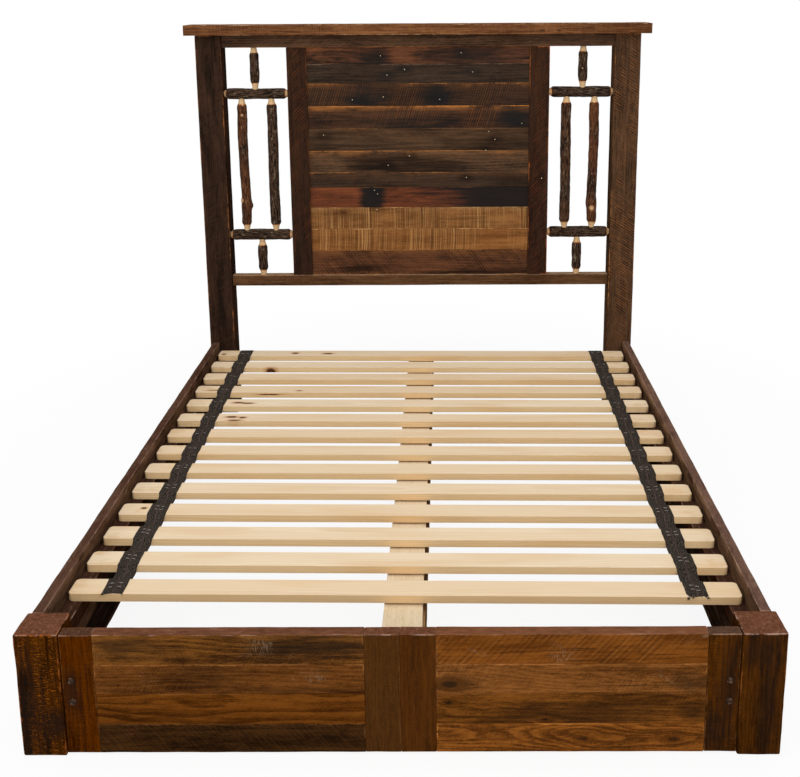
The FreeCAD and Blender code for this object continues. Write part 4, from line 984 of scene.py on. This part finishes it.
def stick(label, kind, foot, head, in_foot, in_head, show, turn, seed):
    """One bark-on stick with peeled tenons, as a mesh that carries its finish's attributes."""
    bark = SHAPES[kind][0] * STICK / 2
    reach = (head - foot).length
    stops = profile(kind, reach, in_foot, in_head, show)
    axis = (head - foot).normalized()
    upright = abs(axis.z) >= 1
    stand = (Matrix.Identity(3) if upright
             else Vector((0, 0, 1)).rotation_difference(axis).to_matrix())
    stand = stand @ Matrix.Rotation(turn, 3, "Z")
    steps = max(24, round(reach / ROW_EVERY))
    points, places, barks, knots = [], [], [], []
    marks = [(share * reach, math.radians(angle) - turn, wide, pale)
             for share, angle, wide, pale in KNOTS.get(label, [])]
    for row in range(steps + 1):
        s = reach * row / steps
        radius, side, deep, cover = eased_between(stops, s)
        for column in range(AROUND):
            angle = 2 * math.pi * column / AROUND
            spoke = Vector((math.cos(angle), math.sin(angle), 0))
            at = spoke * bark
            furrow = 2 * abs(noise.noise(Vector((at.x * 170, at.y * 170, s * 26))
                                         + Vector((seed, seed * 2, 0))))
            lumps = noise_at(at, s, 40, 14, seed * 3) + noise_at(at, s, 330, 120, seed)
            bulge = cover * (FURROW * min(furrow, 1.0) - 0.0009 + LUMP * lumps)
            bulge += (1 - cover) * 0.0002 * noise_at(at, s, 200, 20, seed)
            knot = 0.0
            for where, facing, wide, pale in marks:
                gap = math.hypot(s - where, bark * math.remainder(angle - facing, 2 * math.pi))
                if gap < wide:
                    lift = (1 + math.cos(math.pi * gap / wide)) / 2
                    bulge += KNOT_RISE * lift * (wide / 0.012)
                    knot = max(knot, pale * max(0.0, 1 - gap / (0.95 * wide)))
            points.append(foot + stand @ (Vector((side, deep, s)) + spoke * (radius + bulge)))
            places.append((at.x, at.y, s + seed))
            frayed = 0.35 * noise_at(at, s, 300, 200, seed) if 0 < cover < 1 else 0.0
            barks.append(cover + frayed)
            knots.append(knot)
    piece = meshed("bark_" + label, points, tube(steps + 1, AROUND))
    attributes = piece.data.attributes
    attributes.new("stick_place", "FLOAT_VECTOR", "POINT").data.foreach_set(
        "vector", [c for place in places for c in place])
    tints = [TINTS.get(label, 0.12)] * len(points)
    for name, values in (("bark", barks), ("knot", knots), ("tint", tints)):
        attributes.new(name, "FLOAT", "POINT").data.foreach_set("value", values)
    piece.data.shade_smooth()
    piece.data.materials.append(bark_paint)
    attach(piece, "frame")
    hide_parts("lattice_" + label)
    return piece


print("stick maker ready")


# %% Both lattices
def lattice(side, sign, turn):
    """Six sticks between a head post and the stile beside it."""
    where = WHERE[side]
    crosses = ("lower_cross", "upper_cross")
    low_z, high_z = (OPENING + where[kind] * OPENING_RISE for kind in crosses)
    low_grip, high_grip = (SHAPES[kind][0] * STICK / 2 - FLAT for kind in crosses)
    top = OPENING + OPENING_RISE

    def point(share, z):
        return Vector((sign * (POST_FACE - share * STILE_SIDE), FRAME_Y, z))

    grip = Vector((sign * SOCKET, 0, 0))
    jobs = [(kind, point(0, z) + grip, point(1, z) - grip, SOCKET, SOCKET, 0.009)
            for kind, z in zip(crosses, (low_z, high_z))]
    jobs += [(kind, point(where[kind], foot_z), point(where[kind], head_z), in_foot, in_head, 0.020)
             for kind, foot_z, head_z, in_foot, in_head in (
                 ("bottom_short", OPENING - SOCKET, low_z - FLAT, SOCKET, low_grip),
                 ("outer_long", low_z + FLAT, high_z - FLAT, low_grip, high_grip),
                 ("inner_long", low_z + FLAT, high_z - FLAT, low_grip, high_grip),
                 ("top_short", high_z + FLAT, top + SOCKET, high_grip, SOCKET))]
    return [stick(f"{side}_{job[0]}", *job, turn, seed=n * 1.7 + (sign > 0) * 20)
            for n, job in enumerate(jobs)]


sticks = lattice("left", -1, 0.0) + lattice("right", 1, math.radians(150))
print("sticks:", len(sticks))

# %% [markdown]
# ## Pine slats
# The slats are new, pale pine: straight fibres, faint rings, a few knots and streaks. The CAD
# node has the right shape, so it only gets softened edges and this finish. The finish counts
# which slat a point belongs to, so that each slat has its own tone and grain.

# %% The pine finish
HEAD_SLAT, PITCH, SKEW, SLAT_MIDDLE = 0.93575, 0.1378, math.radians(0.9), 0.248
SLATS = 14
PINE_KNOTS = [  # place, then half length, half width and half height
    ((-0.755, 0.936, 0.258), (0.008, 0.007, 1)), ((-0.481, 0.946, 0.258), (0.013, 0.009, 1)),
    ((-0.355, 0.940, 0.258), (0.020, 0.008, 1)), ((-0.551, 0.7714, 0.243), (0.019, 0.010, 0.014)),
    ((-0.514, 0.4955, 0.251), (0.042, 0.006, 0.0022)), ((-0.413, 0.514, 0.258), (0.011, 0.004, 1)),
    ((-0.604, 0.395, 0.258), (0.020, 0.007, 1)), ((-0.572, 0.390, 0.258), (0.022, 0.006, 1)),
    ((-0.602, 0.260, 0.258), (0.019, 0.008, 1)), ((-0.566, 0.255, 0.258), (0.012, 0.007, 1)),
    ((-0.588, 0.230, 0.258), (0.022, 0.006, 1)), ((-0.708, 0.522, 0.258), (0.028, 0.005, 1)),
    ((-0.714, -0.425, 0.258), (0.008, 0.006, 1))]
pine, tree = bare_material("pine_slat")
spot = add(tree, "ShaderNodeTexCoord")["Object"]
x, y, z = split(spot)
straight = y + x * math.tan(SKEW)
number = sums("ROUND", (HEAD_SLAT - straight) / PITCH)
local = straight + number * PITCH
place = joined(x, local - HEAD_SLAT, z - SLAT_MIDDLE)
grain = grouped(tree, grain_group, {"Place": place, "Seed": number * 1.31 + 4.0, "Rings": 190.0,
                                    "Wander": 0.006})
luck = add(tree, "ShaderNodeTexWhiteNoise", {"W": number}, noise_dimensions="1D")[0]
colour = blended(luck, (0.85, 0.705, 0.51), (0.81, 0.63, 0.425))
warm = cloudy(place + joined(number, number), (2.5, 16, 16))
colour = blended(ramped(warm, 0.45, 0.75, 0.0, 0.5), colour, (0.74, 0.50, 0.27))
colour = blended(grain["Rings"] * 0.22, colour, (0.60, 0.38, 0.19))
colour = blended(ramped(grain["Fibre"], 0.3, 0.75, 0.0, 0.22), colour, (0.60, 0.40, 0.22))
eye = nearest([length((spot - centre) / reach) for centre, reach in PINE_KNOTS])
wobble = eye + (cloudy(spot, (90, 260, 90), 3.0) - 0.5) * 0.7
colour = blended(ramped(wobble, 0.8, 2.0, 0.7, 0.0), colour, (0.47, 0.21, 0.08))
colour = blended(ramped(wobble, 0.65, 1.05, 1.0, 0.0), colour, (0.085, 0.032, 0.012))
# painted shade on the slats' sides, partly the yellower tone of a planed edge: faces that look up
# less are multiplied darker and yellower
shaded = blended(1.0, colour, (1.06, 0.935, 0.71), "MULTIPLY")
colour = blended(ramped(upward(tree), 0.35, 0.85, 0.85, 0.0), colour, shaded)
out_from_middle = sums("ABSOLUTE", x)
honey = ramped(cloudy(spot, (14, 22, 14), 3.0), 0.46, 0.68, 0.0, 0.55)
colour = blended(honey * ramped(out_from_middle, 0.60, 0.74), colour, (0.66, 0.42, 0.20))
# painted shade: a dark line round each slat's end, where it meets the rail
rim = out_from_middle + cloudy(spot, (160, 160, 160), 3.0, 0.7) * 0.006
colour = blended(ramped(rim, 0.7745, 0.779, 0.0, 0.6), colour, (0.20, 0.11, 0.06))
finished(colour, grain["Fibre"] * 0.2 + 0.45, grain["Fibre"], 0.0004)


def keep_node(node, material, ease):
    """Give a CAD node a better material, and soften its sharp edges."""
    piece = nodes[node]
    piece.data.materials.clear()
    piece.data.materials.append(material)
    weld = piece.modifiers.new("join", "WELD")
    weld.merge_threshold = 0.00002
    bevel = piece.modifiers.new("ease", "BEVEL")
    bevel.width, bevel.segments = ease, 3
    bevel.limit_method, bevel.angle_limit = "ANGLE", math.radians(40)


keep_node("slats", pine, 0.0018)
print("slats finished with", len(PINE_KNOTS), "knots")

# %% [markdown]
# ## Support legs
# Three short pine legs stand beside the rib. They hardly show, so the CAD solids stay, with
# eased edges and a rough pine finish made by the board recipe.

# %% Legs
legs_paint = board_material(
    "support_leg", Vector((-0.045, -0.1, 0)), Vector((0.014, 0.1, 0.22)), 31.0,
    light=(0.74, 0.53, 0.30), dark=(0.56, 0.36, 0.18), stain=0.1, stain_tone=(0.3, 0.17, 0.08),
    saw=0.2, saw_tone=(0.8, 0.62, 0.4), edge=0.1)
keep_node("centre_beam_legs", legs_paint, 0.002)
print("legs finished")

# %% [markdown]
# ## Webbing
# Two strips of black polypropylene webbing hold the slats at their distance. A strip lies flat
# on each slat, drops over its edge and sags to the next one. Its path is a row of heights along
# the bed, and a flat section with thinner edges is swept along it. The cut end at the foot is
# frayed: tongues of noise lengthen it, and a few loose threads hang from its corners.

# %% The webbing finish
THREAD_WAVES, WARP_WAVES = 620.0, 2900.0  # waves in radians for each metre
web_paint, tree = bare_material("webbing")
uv = add(tree, "ShaderNodeUVMap", uv_map="weave")[0]
across, along, _ = split(uv)
fold = sums("ABSOLUTE", across)
thread = along * THREAD_WAVES + fold * THREAD_WAVES
twill = sums("SINE", thread * 2.2) * 0.5 + 0.5
warp = sums("SINE", across * WARP_WAVES) * 0.5 + 0.5
weave = twill * (warp * 0.5 + 0.5)
fuzz = cloudy(uv, (300, 210, 1), 4.0, 0.85)
seam = ramped(fold, 0.0006, 0.0016, 1.0, 0.0)
dust = ramped(cloudy(uv, (60, 14, 1), 3.0), 0.45, 0.8)
colour = blended(weave, (0.006, 0.005, 0.004), (0.040, 0.031, 0.025))
colour = blended(ramped(fuzz, 0.50, 0.60, 0.0, 0.85), colour, (0.145, 0.112, 0.090))
colour = blended(seam * 0.5, colour, (0.15, 0.085, 0.065))
colour = blended(dust * 0.25, colour, (0.085, 0.068, 0.058))
finished(colour, ramped(fuzz, 0.2, 0.8, 0.6, 0.85), weave + fuzz * 1.2, 0.0009)
print("finish: webbing")

# %% Weave the strips
SLAT_TOP, SLAT_WIDE, STRAP_X = 0.258, 0.070, 0.6725
WEB_WIDE, WEB_THICK, SAG, LIFTED = 0.050, 0.0016, 0.0105, 0.00005
ROWS, COLUMNS = 700, 12
TONGUE, TONGUE_DROOP, FRAYED = 0.011, 0.5, 0.985  # how far the end frays, and from where
DRIFT, JITTER, RIPPLE = 0.0016, 0.0012, 0.0005  # how far a strip strays sideways, and up
UNEVEN, PULLED_IN = 0.03, 0.05  # shares of its width that it loses to noise, and in a dip
THREADS, THREAD_STEPS = 6, 4
THREAD_SECTION = ((-0.00035, 0.0), (0.00035, 0.0), (0.0, 0.0006))


def slat_middle(x, n):
    """Y of the middle of the n-th slat from the head; the slats lie a little askew."""
    return HEAD_SLAT - x * math.tan(SKEW) - n * PITCH


def web_height(y, x):
    """Height of the webbing's underside at y: flat on a slat, sagging between two."""
    from_head = (slat_middle(x, 0) - y) / PITCH
    off = abs(from_head - round(from_head)) * PITCH
    edge = SLAT_WIDE / 2 + 0.0012
    if off <= edge or from_head < 0 or from_head > SLATS - 1:
        return SLAT_TOP
    run = (off - edge) / (PITCH / 2 - edge)
    return SLAT_TOP - SAG * math.sin(min(1.0, run * 2.0) * math.pi / 2) ** 0.7


def wander(y, fine, *shift):
    """Noise along a strip."""
    return noise.noise(Vector((y * fine, *shift)))


def loose_thread(n, x, foot_y):
    """Points and faces of the n-th thin thread that curls out of a corner of the cut end."""
    corner, rank = (1 if n % 2 else -1), n // 2
    root = x + corner * WEB_WIDE / 2 * (0.93 - 0.07 * rank)
    sway, reach = corner * (0.0045 - 0.0022 * rank), 0.0125 - 0.0016 * rank
    points = []
    for step in range(THREAD_STEPS + 1):
        run = step / THREAD_STEPS
        thin = 1 - 0.6 * run
        points += [(root + sway * run * run + dx * thin, foot_y + 0.003 - (reach + 0.003) * run,
                    SLAT_TOP + 0.0012 + dz * thin - 0.005 * run ** 3) for dx, dz in THREAD_SECTION]
    return root, points, tube(THREAD_STEPS + 1, len(THREAD_SECTION))


def web_strip(side, sign, ragged):
    """One strip of webbing from the head slat to the foot slat."""
    x = sign * STRAP_X
    head_y = slat_middle(x, 0) + SLAT_WIDE / 2 - 0.001
    foot_y = slat_middle(x, SLATS - 1) - SLAT_WIDE / 2 + 0.002
    points, uvs = [], []
    for row in range(ROWS + 1):
        share = row / ROWS
        y = head_y + share * (foot_y - head_y)
        base = web_height(y, x)
        drift = DRIFT * wander(y, 7, sign * 3.1, 0.4) + JITTER * wander(y, 40, sign * 3.1, 5.4)
        uneven = abs(wander(y, 11, sign, 7.7)) + abs(wander(y, 90, sign, 3.7))
        narrow = 1 - UNEVEN * uneven - PULLED_IN * min(1.0, (SLAT_TOP - base) / 0.004)
        end = max(0.0, share - FRAYED) / (1 - FRAYED)
        for top in (1, 0):
            for column in range(COLUMNS + 1):
                u = (-1 + 2 * column / COLUMNS) * (1 if top else -1)
                across = u * WEB_WIDE / 2 * narrow
                tongue = TONGUE * ragged * end * (0.9 * wander(u, 5.2, sign * 5, 2.0)
                                                  + 0.75 * abs(u) ** 5 - 0.15 * u)
                lift = RIPPLE * wander(y, 30, u * 2, sign * 9)
                thick = WEB_THICK * (1 - 0.35 * u ** 6) if top else LIFTED
                droop = TONGUE_DROOP * max(0.0, tongue - 0.002)
                height = base + max(0.0, lift) + thick - droop
                points.append((x + across + drift, y - tongue, height))
                uvs.append((across, share * (head_y - foot_y)))
    faces = tube(ROWS + 1, 2 * (COLUMNS + 1), flip=True)
    for n in range(round(THREADS * ragged)):
        root, curl, skin = loose_thread(n, x, foot_y)
        faces += [tuple(len(points) + corner for corner in face) for face in skin]
        points += curl
        uvs += [(root - x, head_y - foot_y)] * len(curl)
    strip = meshed("webbing_" + side, points, faces)
    weave = strip.data.uv_layers.new(name="weave").data
    weave.foreach_set("uv", [c for loop in strip.data.loops for c in uvs[loop.vertex_index]])
    strip.data.shade_smooth()
    strip.data.materials.append(web_paint)
    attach(strip, "slat_roll")
    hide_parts("strap_" + side)
    return strip


strips = [web_strip("left", -1, 0.5), web_strip("right", 1, 1.0)]
print("webbing:", [strip.name for strip in strips])

# %% [markdown]
# ## Staples, bolts and screws
# Small hardware repeats, so Geometry Nodes put one part on every point of a small mesh. The
# staple is a bent wire; the bolt and screw heads are turned from a profile. Each point carries
# the direction its part faces.

# %% Geometry Nodes: one part on each point
scatter_tree, given, out = new_group("part on each point", "GeometryNodeTree", {
    "Points": GEOMETRY, "Part": "Object", "Wobble": 0.0, "Seed": 1, "Material": "Material"},
    {"Geometry": GEOMETRY})
t = scatter_tree
facing = add(t, "GeometryNodeInputNamedAttribute", {"Name": "facing"}, data_type="FLOAT_VECTOR")[0]
turned = add(t, "FunctionNodeAlignRotationToVector", {"Vector": facing}, axis="Z")[0]
wobble = add(t, "FunctionNodeRandomValue", {"Min": given["Wobble"] * -1.0, "Max": given["Wobble"],
                                            "Seed": given["Seed"]}, data_type="FLOAT")[1]
spin = add(t, "FunctionNodeAxisAngleToRotation", {"Axis": (0, 0, 1), "Angle": wobble})[0]
turned = add(t, "FunctionNodeRotateRotation", {"Rotation": turned, "Rotate By": spin},
             rotation_space="LOCAL")[0]
part = add(t, "GeometryNodeObjectInfo", {"Object": given["Part"]})["Geometry"]
dots = add(t, "GeometryNodeMeshToPoints", {"Mesh": given["Points"]})[0]
laid = add(t, "GeometryNodeInstanceOnPoints",
           {"Points": dots, "Instance": part, "Rotation": turned})[0]
laid = add(t, "GeometryNodeRealizeInstances", {"Geometry": laid})[0]
laid = add(t, "GeometryNodeSetMaterial", {"Geometry": laid, "Material": given["Material"]})[0]
hand_out(out, Geometry=laid)


def on_points(label, part, material, places, wobble=0.0, seed=1):
    """Copies of a part on places: (point, facing)."""
    carrier = bpy.data.meshes.new(label + "_points")
    carrier.from_pydata([point for point, _ in places], [], [])
    carrier.attributes.new("facing", "FLOAT_VECTOR", "POINT").data.foreach_set(
        "vector", [c for _, facing in places for c in facing])
    piece = grown(scatter_tree, label, carrier, Part=part, Wobble=wobble, Seed=seed,
                  Material=material)
    bpy.data.objects.remove(part)
    return piece


def turned_part(label, outline, sides=20):
    """A part turned round Z from an outline of (radius, height) from its rim to its middle."""
    points = [(r * math.cos(2 * math.pi * n / sides), r * math.sin(2 * math.pi * n / sides), z)
              for r, z in outline[:-1] for n in range(sides)] + [(0, 0, outline[-1][1])]
    *skin, base, top = tube(len(outline) - 1, sides)
    fan = [(top[n], top[(n + 1) % sides], len(points) - 1) for n in range(sides)]
    part = meshed(label, points, [*skin, *fan, base])
    part.data.shade_smooth()
    return part


print("tree:", scatter_tree.name)


# %% Steel
def steel(label, tone, rust, roughness):
    """Dark or bright steel with scratches and a little rust."""
    material, tree = bare_material(label)
    spot = add(tree, "ShaderNodeTexCoord")["Object"]
    scratch = cloudy(spot, (900, 2600, 900), 3.0, 0.7)
    patch = ramped(cloudy(spot, (140, 140, 140), 3.0), 0.5, 0.72, 0.0, rust)
    bare = blended(scratch, tone, [c * 1.6 for c in tone])
    finished(blended(patch, bare, (0.16, 0.065, 0.028)), patch * 0.35 + roughness, scratch,
             0.0002, gloss=0.5, strength=0.6, metal=1.0 - patch)
    return material


bolt_steel = steel("bolt_steel", (0.026, 0.016, 0.010), 0.95, 0.46)
wire_steel = steel("staple_wire", (0.56, 0.50, 0.46), 0.3, 0.38)
angle_steel = steel("angle_steel", (0.045, 0.043, 0.043), 0.3, 0.5)
print("steels ready")

# %% Bolts of the footboard
DOME = [(0.0082, 0.0), (0.0084, 0.0010), (0.0067, 0.0016), (0.0062, 0.0032), (0.0044, 0.0042),
        (0.0, 0.0045)]
BOLT_X, PLANK_FRONT, BOLT_HEIGHTS = 0.701, -1.10425, (0.129, 0.179)
bolt_places = [((sign * BOLT_X, PLANK_FRONT, z), (0, -1, 0))
               for sign in (-1, 1) for z in BOLT_HEIGHTS]
bolts = on_points("bolt_heads", turned_part("dome", DOME, 24), bolt_steel, bolt_places)
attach(bolts, "frame")
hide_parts("footboard_bolts")
print("bolts:", len(bolt_places))

# %% Corner angles and their screws
PAN = [(0.0058, 0.0), (0.0058, 0.0020), (0.0048, 0.0034), (0.0022, 0.0040), (0.0016, 0.0030),
       (0.0, 0.0030)]
RAIL_INSIDE, CORNERS, SCREW_HEIGHTS = 0.781, ((-1.01575, 1), (0.99075, -1)), (0.085, 0.155)
PLATE, FROM_CORNER = 0.004, 0.030
keep_node("corner_angles", angle_steel, 0.0008)
screw_places = []
for sign in (-1, 1):
    for y, run in CORNERS:
        for z in SCREW_HEIGHTS:
            screw_places += [
                ((sign * (RAIL_INSIDE - PLATE), y + run * FROM_CORNER, z), (-sign, 0, 0)),
                ((sign * (RAIL_INSIDE - FROM_CORNER), y + run * PLATE, z), (0, run, 0))]
screws = on_points("angle_screws", turned_part("pan", PAN, 18), bolt_steel, screw_places)
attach(screws, "frame")
print("screws:", len(screw_places))

# %% Staples
CROWN, LEG, WIRE, CREASE = 0.0040, 0.0016, 0.00042, 0.0006  # half the crown, then three sizes


def staple():
    """A crown of flat wire with its two legs bent down into the webbing."""
    path = [(-CROWN, -LEG), (-CROWN, 0.0001), (CREASE - CROWN, CREASE), (CROWN - CREASE, CREASE),
            (CROWN, 0.0001), (CROWN, -LEG)]
    points = []
    for x, z in path:
        leg = z < CREASE
        outer_x = x + (math.copysign(WIRE, x) if leg else 0)
        outer_z = z + (0 if leg else WIRE)
        points += [(outer_x, -WIRE, outer_z), (outer_x, WIRE, outer_z), (x, WIRE, z), (x, -WIRE, z)]
    return meshed("staple", points, tube(len(path), 4, flip=True))


SINGLE_ROWS = 8  # the slats at the head have one row of staples, the others two
STAPLE_FOOT = SLAT_TOP + WEB_THICK + 0.0001
staple_places = []
for sign in (-1, 1):
    x = sign * STRAP_X
    for n in range(SLATS):
        rows = (0.010 * math.sin(n * 2.1 + sign),) if n < SINGLE_ROWS else (0.013, -0.005)
        for row in rows:
            for column in (-0.0095, 0.0085):
                jog = 0.0028 * math.sin(n * 5.3 + column * 900 + row * 700 + sign)
                at = x + column + jog, slat_middle(x, n) + row + jog, STAPLE_FOOT
                staple_places.append((at, (0, 0, 1)))
staples = on_points("staples", staple(), wire_steel, staple_places, wobble=0.38, seed=7)
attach(staples, "slat_roll")
print("staples:", len(staple_places))

# %% [markdown]
# ## Old nail holes
# At each old nail place a small pale spot sits in a dark-rimmed dip. A tiny dished ring goes
# on each place of the board table, one to a hole.

# %% Nail holes
hole_paint, tree = bare_material("nail_hole")
speck = cloudy(add(tree, "ShaderNodeTexCoord")["Object"], (900, 900, 900))
finished(blended(speck, (0.98, 0.88, 0.62), (0.88, 0.68, 0.38)), speck, speck, 0.0003)
CUP = [(0.0016, 0.0), (0.0015, 0.0003), (0.0010, 0.0004), (0.0, 0.0003)]
SUNK = 0.0002
hole_places = [((x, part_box(node)[0].y - SUNK + SUNK * math.sin(x * 90), z), (0, -1, 0))
               for node, tones in BOARDS.items() for x, z in tones.get("spots", ())]
holes = on_points("nail_holes", turned_part("cup", CUP, 10), hole_paint, hole_places)
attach(holes, "frame")
print("nail holes:", len(hole_places))

# %% The view transform
bpy.context.scene.view_settings.view_transform = "Standard"
